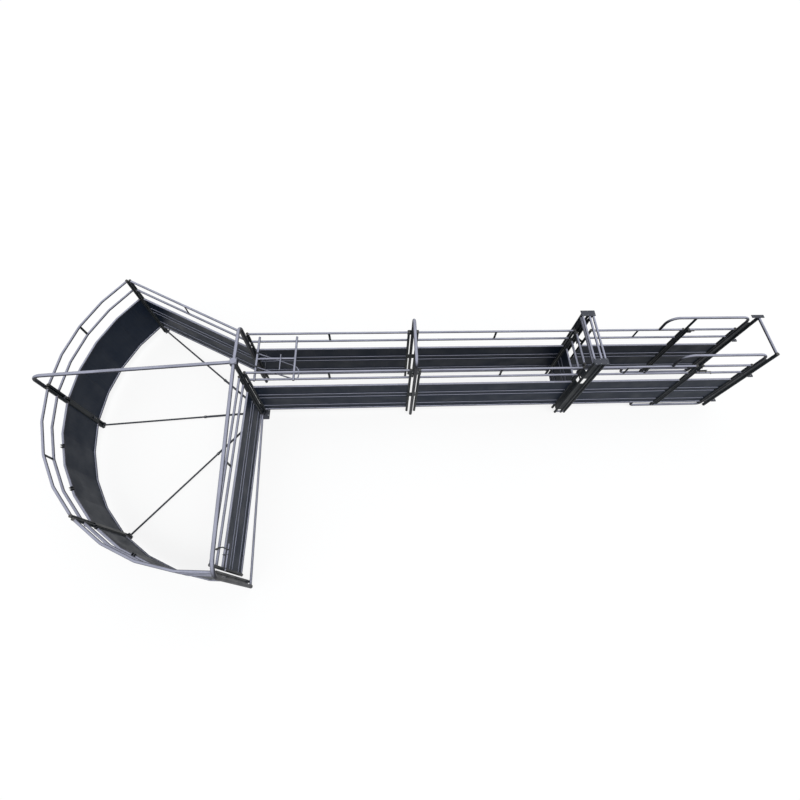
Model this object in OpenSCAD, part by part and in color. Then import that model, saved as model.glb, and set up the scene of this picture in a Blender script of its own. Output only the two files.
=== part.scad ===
// Livestock sweep tub with a working alley, built of round tube and pressed sheet.
// X runs along the alley, Y across it to the far side, Z up.
// The origin is the foot of the pivot post that the sweep gate turns on.

/* [Heights] */
// Height of the top rail's centre
top_z = 1830; // [1750:5:1900]
// Height of the second rail's centre
mid_z = 1560; // [1500:5:1600]
// Height of the rail along the top edge of the sheets
sheet_z = 1255; // [1150:5:1300]
// Height of the bottom rail's centre
bottom_z = 225; // [205:5:260]
// Height of the overhead tubes' centre
bow_z = 2230; // [2150:5:2350]

/* [Tubes] */
// Diameter of the rails
rail_d = 42.4; // [38:0.1:44]
// Diameter of the panel and gate posts
post_d = 48.3; // [46.5:0.1:50]
// Diameter of the overhead bows and the end frame posts
bow_d = 60.3; // [56:0.1:63]
// Diameter of the pivot post
pivot_d = 76.1; // [70:0.1:80]
// Diameter of the floor braces
brace_d = 33.7; // [30:0.1:35]
// Bend radius of the overhead bows
bow_bend = 150; // [120:5:220]

/* [Sheets] */
// Thickness of the sheets
sheet_t = 3; // [2:0.5:4]
// Depth of the pressed ribs
rib_depth = 14; // [8:1:18]
// Width of a pressed rib at its foot
rib_w = 75; // [50:5:90]

/* [Tub] */
// Radius of the rim at the panel joints
tub_r = 3140; // [3100:10:3300]
// Angle of the first rim joint, where the lead panel starts
rim_start = 139.5; // [138:0.5:141]
// Angle between two rim joints
rim_step = 44.3; // [44:0.1:44.6]
// Straight runs in one rim panel
chords = 4; // [4:1:5]
// Distance between the two posts of a joint
joint_gap = 62; // [60:1:66]
// Lead panel's alley end, along the alley
lead_end_x = -100; // [-120:5:-90]
// Lead panel's alley end, past the far panels
lead_end_y = 50; // [40:5:80]
// Width of the head box on the pivot post
head_w = 120; // [110:5:140]

/* [Sweep gate] */
// Radius of the gate's hinge post
sweep_in = 84; // [84:1:100]
// Clearance between the gate's free post and the rim joints
sweep_tip = 100; // [95:5:120]
// Height of the gate's bottom rail
sweep_bottom_z = 180; // [170:5:205]
// Angle the gate stands at
sweep_rest = 270; // [269:0.5:271]
// Distance of the latch bolt from the gate's plane
latch_off = 64; // [64:1:68]

/* [Alley] */
// Distance between the near and the far panels
alley_w = 790; // [700:10:850]
// First post of the near panels
alley_x = 76; // [76:1:85]
// First post of the far panels
far_x = 25; // [20:1:40]
// Middle bow
mid_bow_x = 3050; // [2950:10:3150]
// Distance of the middle bow's posts outside the panels
mid_bow_off = 75; // [70:5:90]
// Distance from the middle bow to the panel posts beside it
post_back = 80; // [75:5:90]

/* [Backstop] */
// First crossbar
cross_x1 = 190; // [180:5:220]
// Second crossbar
cross_x2 = 880; // [860:5:950]
// Length of the flap
flap_len = 880; // [820:10:900]
// Width of the flap
flap_w = 280; // [240:10:320]
// Slope of the hanging flap
flap_slope = 41; // [38:1:45]

/* [Stop gate] */
// Plane of the stop gate
stop_x = 6130; // [6050:10:6250]
// Distance of the portal's posts outside the panels
portal_off = 105; // [100:5:120]
// Height of the stop gate's bottom rail
stop_bottom_z = 150; // [145:5:170]

/* [Side gates and end] */
// Last post of the third panels
side_x = 8220; // [8180:10:8250]
// Length of a side gate between its posts
gate_len = 930; // [850:10:950]
// Height of a side gate's bottom rail
gate_bottom_z = 205; // [205:5:225]
// Height of the threshold tube
sill_z = 60; // [50:2:62]
// Distance of the end frame behind the side frames
end_back = 135; // [110:5:140]
// Bore of the chute lugs
lug_bore = 21; // [18:0.5:25]

/* [Hidden] */
$fn = 48;
weld_gap = 0.2;
run_gap = 0.5;
fold_gap = 0.3;
plate_t = 8;
link_h = 60;
link_zs = [430, 1400];
bow_link_zs = [870, top_z - rail_d];
web_low = [150, 1390];
web_high = [1600, bow_z - 170];
web_top = [1600, top_z];
clamp_w = 2 * post_back + 50;
clamp_h = 150;
top_plate_w = 120;
cover_w = 80;
cover_t = 4;
rail_zs = [bottom_z, sheet_z, mid_z, top_z];
sweep_zs = [sweep_bottom_z, sheet_z, mid_z, top_z];
stop_zs = [stop_bottom_z, sheet_z, mid_z, top_z];
gate_zs = [gate_bottom_z, sheet_z, mid_z, top_z];
post_top = top_z + rail_d / 2;
rib_at = [0.17, 0.5425, 0.68];
spreader_w = 40;
base_t = 12;
base_w = 280;
anchor_x = 220;
anchor_y = 100;
anchor_d = 18;
head_h = 124;
joint_off = asin(joint_gap / 2 / tub_r);
chord_a = (rim_step - 2 * joint_off) / chords;
brace_z = 40;
brace_hub_r = rail_d / 2 / sin(rim_step / 2) + 1;
brace_hub_h = 56;
brace_clamp_r = 1168;
bow_reach = post_d / 2 + bow_d / 2 + weld_gap;
rim_bow_a = rim_start + rim_step;
rim_bow_r = tub_r * cos(joint_off) + sqrt(pow(bow_reach, 2) - pow(joint_gap / 2, 2));
entry_shift = rail_d / 2 + post_d / 2 + 0.3 - joint_gap / 2;
entry_a = rim_start + 3 * rim_step + asin(entry_shift / tub_r);
entry_bow_r = tub_r + 80;
entrance_post = [-8, alley_w - 70];
c1 = tub_r * [cos(rim_start), sin(rim_start)];
lead_end = [lead_end_x, alley_w + lead_end_y];
lead_dir = (lead_end - c1) / norm(lead_end - c1);
lead_post = c1 + 45 * lead_dir;
lead_a = atan2(lead_dir[1], lead_dir[0]);
lead_len = norm(lead_end - lead_post);
sweep_out = tub_r - sweep_tip;
sweep_len = sweep_out - sweep_in;
collar_h = 60;
collar_d = 100;
collar_zs = [sweep_bottom_z + rail_d / 2 + 40, mid_z + rail_d / 2 + 70];
latch_d = 26;
latch_z = sheet_z + rail_d / 2 + 34;
latch_tip = sweep_out + 35;
latch_len = 385;
guide_rs = [sweep_out, sweep_out - 190];
catch_as = [198.8, 213.6, 228.6, 243.2];
catch_reach = 20;
catch_t = 8;
p1_len = mid_bow_x - post_back - alley_x;
p2_x = mid_bow_x + post_back;
far_len = mid_bow_x - post_back - far_x;
stop_back = 32;
p2_len = stop_x - stop_back - p2_x;
hoop_dx = [0, 125, 195];
p3_x = stop_x + hoop_dx[2] + 95;
p3_len = side_x - p3_x;
header_drop = 85;
stop_hinge_y = 75;
stop_len = alley_w - stop_hinge_y - 55;
ring_h = 40;
ring_d = 68;
jamb_x = side_x + 50;
gate_x = jamb_x + 55;
hinge_x = gate_x + gate_len;
frame_x = hinge_x + 60;
loop_x = side_x - 460;
loop_rise = 200;
loop_turn = 80;
end_x = frame_x + end_back;
cross_z = mid_z + rail_d + weld_gap;
cross_y0 = -50;
cross_y1 = alley_w + 70;
flap_d = 25.4;
flap_bend = 110;
flap_y0 = alley_w / 2 - 25 - flap_w / 2;
flap_ring_d = rail_d + 12;
cradle_d = 16;
cradle_r = 190;
bolt_z = (mid_z + top_z) / 2;
bolt_off = 48;
bolt_d = 16;
bolt_len = 265;
bolt_tip = 40;
bolt_clear = 3;

tube_colour = "#4b4d63";
sheet_colour = "#34383f";
dark_colour = "#33343f";

// A round bar from point p to point q
module rod(p, q, d) {
    v = q - p;
    translate(p)
        rotate([0, acos(v[2] / norm(v)), atan2(v[1], v[0])])
            cylinder(h = norm(v), d = d);
}

// A quarter bend in the XZ plane, from straight up to level
module quarter(r, d) {
    rotate([90, 0, 0]) rotate_extrude(angle = 90) translate([r, 0]) circle(d = d);
}

// A vertical flat plate between two round posts
module link(p, dp, q, dq, z, h = link_h) {
    v = q - p;
    translate([p[0], p[1], z - h / 2])
        rotate([0, 0, atan2(v[1], v[0])])
            translate([dp / 2 + weld_gap, -plate_t / 2, 0])
                cube([norm(v) - dp / 2 - dq / 2 - 2 * weld_gap, plate_t, h]);
}

// A tall web plate from height z0 to height z1 between two posts
module web(p, dp, q, dq, z0, z1) {
    link(p, dp, q, dq, (z0 + z1) / 2, z1 - z0);
}

// Two posts, rails between them and flat spreaders between the top rails
module ladder(run, zs, feet, spreaders) {
    for (i = [0, 1]) translate([i * run, 0, feet[i]])
        cylinder(h = post_top - feet[i], d = post_d);
    difference() {
        for (z = zs) rod([0, 0, z], [run, 0, z], rail_d);
        for (x = [0, run]) translate([x, 0, -1])
            cylinder(h = post_top + 50, d = post_d + 2 * weld_gap);
    }
    for (x = spreaders) translate([x - spreader_w / 2, -plate_t / 2, 0]) spreader();
}

// Flat bar between the second and the top rail
module spreader() {
    translate([0, 0, mid_z + rail_d / 2 + weld_gap])
        cube([spreader_w, plate_t, top_z - mid_z - rail_d - 2 * weld_gap]);
}

function rib_line(y, z0, z1) = [for (f = rib_at)
    for (p = [[0, -0.5], [1, -0.3], [1, 0.3], [0, 0.5]])
        [y + p[0] * rib_depth, z0 + f * (z1 - z0) + p[1] * rib_w]];
function back(v) = [for (i = [len(v) - 1:-1:0]) v[i]];

// Pressed sheet between two posts, ribs towards +Y when side is 1
module ribbed_sheet(run, foot_z, side) {
    x0 = post_d / 2 + weld_gap;
    z0 = foot_z + rail_d / 2 + weld_gap;
    z1 = sheet_z - rail_d / 2 - weld_gap;
    t = sheet_t / 2;
    outline = concat([[-t, z0]], rib_line(-t, z0, z1), [[-t, z1], [t, z1]],
        back(rib_line(t, z0, z1)), [[t, z0]]);
    translate([x0, 0, 0]) rotate([90, 0, 90]) linear_extrude(run - 2 * x0)
        polygon([for (p = outline) [p[0] * side, p[1]]]);
}

// The far side is the near side seen in a mirror
module far_side() {
    translate([0, alley_w, 0]) mirror([0, 1, 0]) children();
}

// Angle of corner j of rim panel k
function rim_corner(k, j) = rim_start + k * rim_step + joint_off + j * chord_a;
function rim_point(a) = tub_r * [cos(a), sin(a), 0];

// Sector of the floor between two angles
module sector(a, b) {
    g = asin(weld_gap / 2 / tub_r);
    far_r = tub_r * 1.1;
    translate([0, 0, 1]) linear_extrude(post_top + 50)
        polygon([[0, 0], far_r * [cos(a + g), sin(a + g)], far_r * [cos(b - g), sin(b - g)]]);
}

module rim_frame(k) {
    for (j = [0, chords]) translate(rim_point(rim_corner(k, j)))
        cylinder(h = post_top, d = post_d);
    difference() {
        for (j = [0:chords - 1]) intersection() {
            for (z = rail_zs) rim_run(k, j, z);
            sector(rim_corner(k, j), rim_corner(k, j + 1));
        }
        for (j = [0, chords]) translate(rim_point(rim_corner(k, j)))
            cylinder(h = post_top + 50, d = post_d + 2 * weld_gap);
    }
    m = rim_corner(k, floor(chords / 2));
    translate(rim_point(m)) rotate([0, 0, m + 90])
        translate([-spreader_w / 2, -plate_t / 2, 0]) spreader();
}

// One straight run of a rim rail, long enough to be mitred
module rim_run(k, j, z) {
    a = rim_corner(k, j);
    b = rim_corner(k, j + 1);
    v = rim_point(b) - rim_point(a);
    e = 30 * v / norm(v);
    rod(rim_point(a) - e + [0, 0, z], rim_point(b) + e + [0, 0, z], rail_d);
}

module rim_sheet(k) {
    z0 = bottom_z + rail_d / 2 + weld_gap;
    z1 = sheet_z - rail_d / 2 - weld_gap;
    for (j = [0:chords - 1]) {
        p = rim_point(rim_corner(k, j));
        v = rim_point(rim_corner(k, j + 1)) - p;
        x0 = j == 0 ? post_d / 2 + weld_gap : fold_gap;
        x1 = j == chords - 1 ? post_d / 2 + weld_gap : fold_gap;
        translate(p) rotate([0, 0, atan2(v[1], v[0])])
            translate([x0, -sheet_t / 2, z0])
                cube([norm(v) - x0 - x1, sheet_t, z1 - z0]);
    }
}

// Post, bend and overhead tube that ends at the head box
module hub_bow(a, r) {
    rotate([0, 0, a]) {
        translate([r, 0, 0]) cylinder(h = bow_z - bow_bend - weld_gap, d = bow_d);
        translate([r - bow_bend, 0, bow_z - bow_bend]) quarter(bow_bend, bow_d);
    }
    difference() {
        rotate([0, 0, a])
            rod([head_w * 0.3, 0, bow_z], [r - bow_bend - weld_gap, 0, bow_z], bow_d);
        translate([0, 0, bow_z])
            cube([head_w + 2 * weld_gap, head_w + 2 * weld_gap, head_h + 2], center = true);
    }
}

// Ring round an upright with an arm that reaches to the post at distance reach
module hinge_ring(reach) {
    difference() {
        union() {
            cylinder(h = ring_h, d = ring_d);
            translate([0, -6, 0]) cube([reach - post_d / 2 - weld_gap, 12, ring_h]);
        }
        translate([0, 0, -1]) cylinder(h = ring_h + 2, d = post_d + 2 * run_gap);
    }
}

function ring_z(z) = z - rail_d / 2 - run_gap - ring_h;

// Sliding bolt; x is the way it shoots, from the gate's free post
module bolt() {
    translate([bolt_tip - bolt_len, bolt_off, bolt_z]) rotate([0, 90, 0])
        cylinder(h = bolt_len, d = bolt_d);
    translate([bolt_tip - bolt_len + 20, bolt_off + bolt_d / 2 + weld_gap, bolt_z])
        rotate([-90, 0, 0]) cylinder(h = 45, d = 12);
}

// Back plate and two guides of a sliding bolt
module bolt_guides() {
    translate([-150, post_d / 2 + weld_gap, bolt_z - 25]) cube([170, 6, 50]);
    for (x = [-130, 0]) difference() {
        translate([x - 4, post_d / 2 + 6 + 2 * weld_gap, bolt_z - 16])
            cube([8, bolt_off + 14 - post_d / 2 - 6 - 2 * weld_gap, 32]);
        translate([x - 5, bolt_off, bolt_z]) rotate([0, 90, 0])
            cylinder(h = 10, d = bolt_d + 2 * run_gap);
    }
}

module pivot_base() {
    color(dark_colour) difference() {
        translate([-base_w / 2, -base_w / 2, 0]) cube([base_w, base_w, base_t]);
        for (x = [-1, 1]) for (y = [-1, 1])
            translate([x * anchor_x / 2, y * anchor_y / 2, -1])
                cylinder(h = base_t + 2, d = anchor_d);
    }
}

module pivot_post() {
    z1 = bow_z - head_h / 2 - weld_gap;
    color(dark_colour) {
        translate([0, 0, base_t + weld_gap])
            cylinder(h = z1 - base_t - weld_gap, d = pivot_d);
        difference() {
            translate([0, 0, base_t + weld_gap]) cylinder(h = brace_hub_h, r = brace_hub_r);
            translate([0, 0, base_t]) cylinder(h = brace_hub_h + 1, d = pivot_d + 2 * weld_gap);
        }
        difference() {
            translate([0, 0, collar_zs[0] - run_gap - 14]) cylinder(h = 14, d = collar_d);
            translate([0, 0, collar_zs[0] - run_gap - 15])
                cylinder(h = 16, d = pivot_d + 2 * weld_gap);
        }
    }
}

module pivot_head() {
    color(dark_colour) translate([0, 0, bow_z])
        cube([head_w, head_w, head_h], center = true);
}

module rim_overhead_bow() {
    color(tube_colour) hub_bow(rim_bow_a, rim_bow_r);
}

module entry_overhead_bow() {
    color(tube_colour) hub_bow(entry_a, entry_bow_r);
}

module alley_entrance_bow() {
    color(tube_colour)
        hub_bow(atan2(entrance_post[1], entrance_post[0]), norm(entrance_post));
}

module rim_panel_1_frame() { color(tube_colour) rim_frame(0); }
module rim_panel_2_frame() { color(tube_colour) rim_frame(1); }
module rim_panel_3_frame() { color(tube_colour) rim_frame(2); }
module rim_panel_1_sheet() { color(sheet_colour) rim_sheet(0); }
module rim_panel_2_sheet() { color(sheet_colour) rim_sheet(1); }
module rim_panel_3_sheet() { color(sheet_colour) rim_sheet(2); }

module lead_panel_frame() {
    color(tube_colour) translate(lead_post) rotate([0, 0, lead_a])
        ladder(lead_len, rail_zs, [0, 0], [lead_len / 2]);
}

module lead_panel_sheet() {
    color(sheet_colour) translate(lead_post) rotate([0, 0, lead_a])
        ribbed_sheet(lead_len, bottom_z, -1);
}

// Posts of the three rim joints and the side their drop pins are on
joint_posts = [
    [lead_post, rim_point(rim_corner(0, 0)), 1],
    [rim_point(rim_corner(0, chords)), rim_point(rim_corner(1, 0)), -1],
    [rim_point(rim_corner(1, chords)), rim_point(rim_corner(2, 0)), 1]];
function flat(p) = [p[0], p[1]];
function pin_at(j) = let(a = flat(j[0]), b = flat(j[1]), v = b - a)
    (a + b) / 2 + j[2] * 45 * [v[1], -v[0]] / norm(v);

module joint_lug(p, q, z) {
    v = q - p;
    difference() {
        translate([p[0], p[1], z]) rotate([0, 0, atan2(v[1], v[0])]) union() {
            translate([0, -18, 0]) cube([norm(v), 36, plate_t]);
            translate([norm(v), 0, 0]) cylinder(h = plate_t, d = 36);
        }
        translate([p[0], p[1], z - 1]) cylinder(h = plate_t + 2, d = post_d + 2 * weld_gap);
        translate([q[0], q[1], z - 1]) cylinder(h = plate_t + 2, d = 17);
    }
}

module panel_joint_lugs() {
    color(dark_colour) for (j = joint_posts) for (z = link_zs) {
        joint_lug(flat(j[0]), pin_at(j), z - plate_t - weld_gap / 2);
        joint_lug(flat(j[1]), pin_at(j), z + weld_gap / 2);
    }
    z1 = sheet_z - 25;
    color(dark_colour) {
        joint_cover(1, bottom_z + 25, link_zs[0] - 20);
        joint_cover(1, link_zs[0] + 20, z1);
        joint_cover(2, bottom_z + 25, z1);
    }
}

// Strip inside the tub that closes the gap of joint k between two heights
module joint_cover(k, z0, z1) {
    rotate([0, 0, rim_start + k * rim_step])
        translate([tub_r * cos(joint_off) - post_d / 2 - weld_gap - cover_t, -cover_w / 2, z0])
            cube([cover_t, cover_w, z1 - z0]);
}

module drop_pins() {
    color(dark_colour) for (j = joint_posts) for (z = link_zs)
        translate([pin_at(j)[0], pin_at(j)[1], z]) {
            translate([0, 0, -45]) cylinder(h = 60, d = 16);
            translate([0, 0, plate_t + weld_gap]) cylinder(h = 8, d = 28);
        }
}

module tub_links() {
    far_post = [far_x, alley_w];
    rim_end = rim_point(rim_corner(2, chords));
    entry_post = entry_bow_r * [cos(entry_a), sin(entry_a)];
    color(dark_colour) for (z = link_zs) {
        link([0, 0], pivot_d, [alley_x, 0], post_d, z);
        link(lead_end, post_d, far_post, post_d, z);
    }
    color(dark_colour) for (w = [web_low, web_top]) {
        web(flat(rim_end), post_d, entry_post, bow_d, w[0], w[1]);
        web(far_post, post_d, entrance_post, bow_d, w[0], w[1]);
    }
}

// Floor brace in two tubes with a clamp, and a plate against the rim posts
module floor_brace(k) {
    a = rim_start + k * rim_step;
    seat_r = k == 0 ? lead_post * [cos(a), sin(a)] : tub_r * cos(joint_off);
    plate_r = seat_r - post_d / 2 - weld_gap - 12;
    color(tube_colour) rotate([0, 0, a]) {
        rod([brace_hub_r + weld_gap, 0, brace_z], [brace_clamp_r, 0, brace_z], rail_d);
        rod([brace_clamp_r + weld_gap, 0, brace_z], [plate_r - weld_gap, 0, brace_z], brace_d);
        translate([plate_r, -50, 12]) cube([12, 100, 56]);
        difference() {
            rod([brace_clamp_r - 40, 0, brace_z], [brace_clamp_r - 1, 0, brace_z], rail_d + 12);
            rod([brace_clamp_r - 60, 0, brace_z], [brace_clamp_r + 20, 0, brace_z],
                rail_d + 2 * weld_gap);
        }
    }
}

module floor_brace_1() { floor_brace(0); }
module floor_brace_2() { floor_brace(1); }
module floor_brace_3() { floor_brace(2); }

module entry_threshold() {
    r1 = entry_bow_r - bow_d / 2 - weld_gap;
    color(tube_colour) rotate([0, 0, entry_a])
        rod([brace_hub_r + weld_gap, 0, brace_z], [r1, 0, brace_z], rail_d);
}

// Radius of the rim's rail on the line at distance latch_off beside the gate's plane
function rail_r(a) = let(b = a + asin(latch_off / tub_r),
    k = floor((b - rim_start) / rim_step),
    j = floor((b - rim_corner(k, 0)) / chord_a),
    m = rim_corner(k, j) + chord_a / 2)
    tub_r * cos(chord_a / 2) / cos(b - m);

module latch_catches() {
    color(dark_colour) for (a = catch_as) rotate([0, 0, a]) for (s = [-1, 1])
        translate([rail_r(a) - rail_d / 2 - catch_reach,
            latch_off - catch_t / 2 + s * (latch_d / 2 + 3 + catch_t / 2),
            sheet_z + rail_d / 2 + weld_gap])
            cube([catch_reach + rail_d * 0.8, catch_t, 60]);
}

module sweep_gate_frame() {
    color(tube_colour) rotate([0, 0, sweep_rest]) {
        translate([sweep_in, 0, 0])
            ladder(sweep_len, sweep_zs, [120, 120], [sweep_len / 2]);
        for (r = guide_rs) difference() {
            y0 = r == sweep_out ? post_d / 2 + weld_gap : -10;
            z0 = r == sweep_out ? latch_z - 20 : sheet_z + rail_d / 2 + weld_gap;
            translate([r - 4, y0, z0]) cube([8, latch_off + 20 - y0, latch_z + 20 - z0]);
            rod([r - 5, latch_off, latch_z], [r + 5, latch_off, latch_z],
                latch_d + 2 * run_gap);
        }
    }
}

module sweep_gate_sheet() {
    color(sheet_colour) rotate([0, 0, sweep_rest]) translate([sweep_in, 0, 0])
        ribbed_sheet(sweep_len, sweep_bottom_z, -1);
}

module sweep_gate_collars() {
    color(dark_colour) rotate([0, 0, sweep_rest]) for (z = collar_zs) translate([0, 0, z])
        difference() {
            union() {
                cylinder(h = collar_h, d = collar_d);
                translate([0, -8, 0]) cube([sweep_in - post_d / 2 - weld_gap, 16, collar_h]);
            }
            translate([0, 0, -1]) cylinder(h = collar_h + 2, d = pivot_d + 2 * run_gap);
        }
}

module sweep_latch_bolt() {
    r0 = latch_tip - latch_len;
    color(dark_colour) rotate([0, 0, sweep_rest]) {
        rod([r0, latch_off, latch_z], [latch_tip, latch_off, latch_z], latch_d);
        rod([r0 + 90, latch_off, latch_z + latch_d / 2 + weld_gap],
            [r0 + 90, latch_off, mid_z + 50], 16);
        rod([r0 + 90, latch_off + 8, mid_z + 58 + weld_gap],
            [r0 + 90, -30, mid_z + 58 + weld_gap], 16);
    }
}

module near_panel_1_frame() {
    color(tube_colour) translate([alley_x, 0, 0])
        ladder(p1_len, rail_zs, [base_t + brace_hub_h + 2 * weld_gap, 0], [p1_len / 2]);
}

module near_panel_2_frame() {
    color(tube_colour) translate([p2_x, 0, 0])
        ladder(p2_len, rail_zs, [0, 0], [p2_len / 2]);
}

module near_panel_3_frame() {
    color(tube_colour) translate([p3_x, 0, 0])
        ladder(p3_len, rail_zs, [0, sill_z + post_d / 2 + weld_gap],
            [p3_len * 0.295, p3_len * 0.516]);
}

module near_panel_1_sheet() {
    color(sheet_colour) translate([alley_x, 0, 0]) ribbed_sheet(p1_len, bottom_z, 1);
}

module near_panel_2_sheet() {
    color(sheet_colour) translate([p2_x, 0, 0]) ribbed_sheet(p2_len, bottom_z, 1);
}

module near_panel_3_sheet() {
    color(sheet_colour) translate([p3_x, 0, 0]) ribbed_sheet(p3_len, bottom_z, 1);
}

module far_panel_1_frame() {
    color(tube_colour) far_side() translate([far_x, 0, 0])
        ladder(far_len, rail_zs, [0, 0], [far_len / 2]);
}
module far_panel_2_frame() { far_side() near_panel_2_frame(); }
module far_panel_3_frame() {
    color(tube_colour) far_side() translate([p3_x, 0, 0])
        ladder(p3_len, rail_zs, [0, sill_z + post_d / 2 + weld_gap], [p3_len * 0.516]);
}
module far_panel_1_sheet() {
    color(sheet_colour) far_side() translate([far_x, 0, 0]) ribbed_sheet(far_len, bottom_z, 1);
}
module far_panel_2_sheet() { far_side() near_panel_2_sheet(); }
module far_panel_3_sheet() { far_side() near_panel_3_sheet(); }

module half_bow() {
    translate([mid_bow_x, -mid_bow_off, 0])
        cylinder(h = bow_z - bow_bend - weld_gap, d = bow_d);
    translate([mid_bow_x, bow_bend - mid_bow_off, bow_z - bow_bend])
        rotate([0, 0, -90]) quarter(bow_bend, bow_d);
}

module mid_bow() {
    y0 = bow_bend - mid_bow_off + weld_gap;
    color(tube_colour) {
        half_bow();
        far_side() half_bow();
        rod([mid_bow_x, y0, bow_z], [mid_bow_x, alley_w - y0, bow_z], bow_d);
    }
}

// Links of one side: clamp plates on the middle bow, webs and links on the portal
module side_links() {
    y0 = -post_d / 2 - weld_gap;
    for (z = bow_link_zs) translate([mid_bow_x, 0, z - clamp_h / 2]) {
        translate([-clamp_w / 2, y0 - plate_t, 0]) cube([clamp_w, plate_t, clamp_h]);
        translate([-plate_t / 2, bow_d / 2 + weld_gap - mid_bow_off, 0])
            cube([plate_t, y0 - plate_t - 2 * weld_gap + mid_bow_off - bow_d / 2, clamp_h]);
    }
    for (w = [web_low, web_top])
        web([stop_x - stop_back, 0], post_d, [stop_x, -portal_off], post_d, w[0], w[1]);
    for (z = link_zs)
        link([p3_x, 0], post_d, [stop_x + hoop_dx[2], -portal_off], post_d, z);
}

module alley_links() {
    color(dark_colour) {
        side_links();
        far_side() side_links();
    }
}

module backstop_bars() {
    color(tube_colour) {
        for (x = [cross_x1, cross_x2]) rod([x, cross_y0, cross_z], [x, cross_y1, cross_z], rail_d);
        difference() {
            rod([cross_x1, alley_w / 2, cross_z], [cross_x2, alley_w / 2, cross_z], brace_d - 3);
            for (x = [cross_x1, cross_x2])
                rod([x, 0, cross_z], [x, alley_w, cross_z], rail_d + 2 * weld_gap);
        }
        translate([0, 0, cross_z + brace_d / 2 - 1.5 + weld_gap + 10])
            rod([cross_x1 + 430, alley_w * 0.19, 0], [cross_x1 + 430, alley_w * 0.6, 0], 20);
    }
}

// Point at distance s along the flap and h under its centre line
function flap_pt(s, h) = [cross_x1 + s * cos(flap_slope) - h * sin(flap_slope), 0,
    cross_z - s * sin(flap_slope) - h * cos(flap_slope)];

// Two arms and a bar that the hanging flap rests on
module backstop_cradle() {
    h = flap_d / 2 + cradle_d / 2 + 0.3;
    v = flap_pt(cradle_r, h);
    o = flap_pt(0, 0);
    arm_r = norm(v - o);
    arm_a = atan2(o[2] - v[2], v[0] - o[0]);
    r0 = rail_d / 2 + weld_gap;
    color(dark_colour) {
        for (y = [flap_y0 - 60, flap_y0 + flap_w + 60]) translate([cross_x1, y, cross_z])
            rotate([0, arm_a, 0]) translate([r0, -4, -12])
                cube([arm_r - r0 - cradle_d / 2 - weld_gap, 8, 24]);
        rod([v[0], flap_y0 - 70, v[2]], [v[0], flap_y0 + flap_w + 70, v[2]], cradle_d);
    }
}

// Loop of tube hung from two rings round the first crossbar
module backstop_flap() {
    r0 = flap_ring_d / 2 + weld_gap;
    x1 = flap_len - flap_bend;
    color(tube_colour) translate([cross_x1, 0, cross_z]) rotate([0, flap_slope, 0]) {
        for (y = [flap_y0, flap_y0 + flap_w]) difference() {
            rod([0, y - 20, 0], [0, y + 20, 0], flap_ring_d);
            rod([0, y - 21, 0], [0, y + 21, 0], rail_d + 2 * run_gap);
        }
        for (y = [flap_y0, flap_y0 + flap_w]) difference() {
            rod([0, y, 0], [x1 - weld_gap, y, 0], flap_d);
            rod([0, y - 30, 0], [0, y + 30, 0], flap_ring_d + 2 * weld_gap);
        }
        translate([x1, flap_y0 + flap_bend, 0]) rotate([0, 0, -90])
            rotate_extrude(angle = 90) translate([flap_bend, 0]) circle(d = flap_d);
        translate([x1, flap_y0 + flap_w - flap_bend, 0])
            rotate_extrude(angle = 90) translate([flap_bend, 0]) circle(d = flap_d);
        rod([flap_len, flap_y0 + flap_bend + weld_gap, 0],
            [flap_len, flap_y0 + flap_w - flap_bend - weld_gap, 0], flap_d);
    }
}

module stop_portal() {
    y0 = -portal_off;
    y1 = alley_w + portal_off;
    color(tube_colour) {
        for (dx = hoop_dx) for (y = [y0, y1]) translate([stop_x + dx, y, 0])
            cylinder(h = bow_z + post_d / 2, d = post_d);
        difference() {
            union() {
                for (dx = hoop_dx) rod([stop_x + dx, y0, bow_z], [stop_x + dx, y1, bow_z], rail_d);
                rod([stop_x, y0, bow_z - header_drop], [stop_x, y1, bow_z - header_drop], rail_d);
                for (y = [y0, y1]) rod([stop_x, y, brace_z],
                    [stop_x + hoop_dx[2], y, brace_z], brace_d);
            }
            for (dx = hoop_dx) for (y = [y0, y1]) translate([stop_x + dx, y, -1])
                cylinder(h = bow_z + 50, d = post_d + 2 * weld_gap);
        }
        for (z = [stop_zs[0], stop_zs[2]])
            translate([stop_x, stop_hinge_y, ring_z(z)]) rotate([0, 0, -90])
                hinge_ring(stop_hinge_y + portal_off);
        stop_keeper();
    }
}

// Closed keeper on the far portal post: four plates round the bolt
module stop_keeper() {
    x0 = stop_x + bolt_off;
    y1 = alley_w + portal_off - post_d / 2 - weld_gap;
    g = bolt_d / 2 + bolt_clear;
    y0 = stop_hinge_y + stop_len + bolt_tip + 18;
    for (s = [-1, 1]) translate([stop_x, y0, bolt_z - 3 + s * (g + 3)])
        cube([bolt_off + 20, y1 - y0, 6]);
    for (s = [-1, 1]) translate([x0 - 3 + s * (g + 3), y0, bolt_z - g + weld_gap])
        cube([6, 30, 2 * g - 2 * weld_gap]);
}

module portal_plates() {
    color(dark_colour) for (y = [-portal_off, alley_w + portal_off]) {
        translate([stop_x - 35, y - top_plate_w / 2, bow_z + post_d / 2 + weld_gap])
            cube([hoop_dx[2] + 70, top_plate_w, plate_t]);
        for (i = [0, 1]) for (w = [web_low, web_high])
            web([stop_x + hoop_dx[i], y], post_d, [stop_x + hoop_dx[i + 1], y], post_d,
                w[0], w[1]);
    }
}

// The stop gate's own frame: x runs from its hinge post to its free post
module at_stop_gate() {
    translate([stop_x, stop_hinge_y, 0]) rotate([0, 0, 90]) children();
}

module stop_gate_frame() {
    color(tube_colour) at_stop_gate() {
        ladder(stop_len, stop_zs, [70, 70], []);
        translate([stop_len, 0, 0]) mirror([0, 1, 0]) bolt_guides();
    }
}

module stop_gate_sheet() {
    color(sheet_colour) at_stop_gate() ribbed_sheet(stop_len, stop_bottom_z, 1);
}

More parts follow.
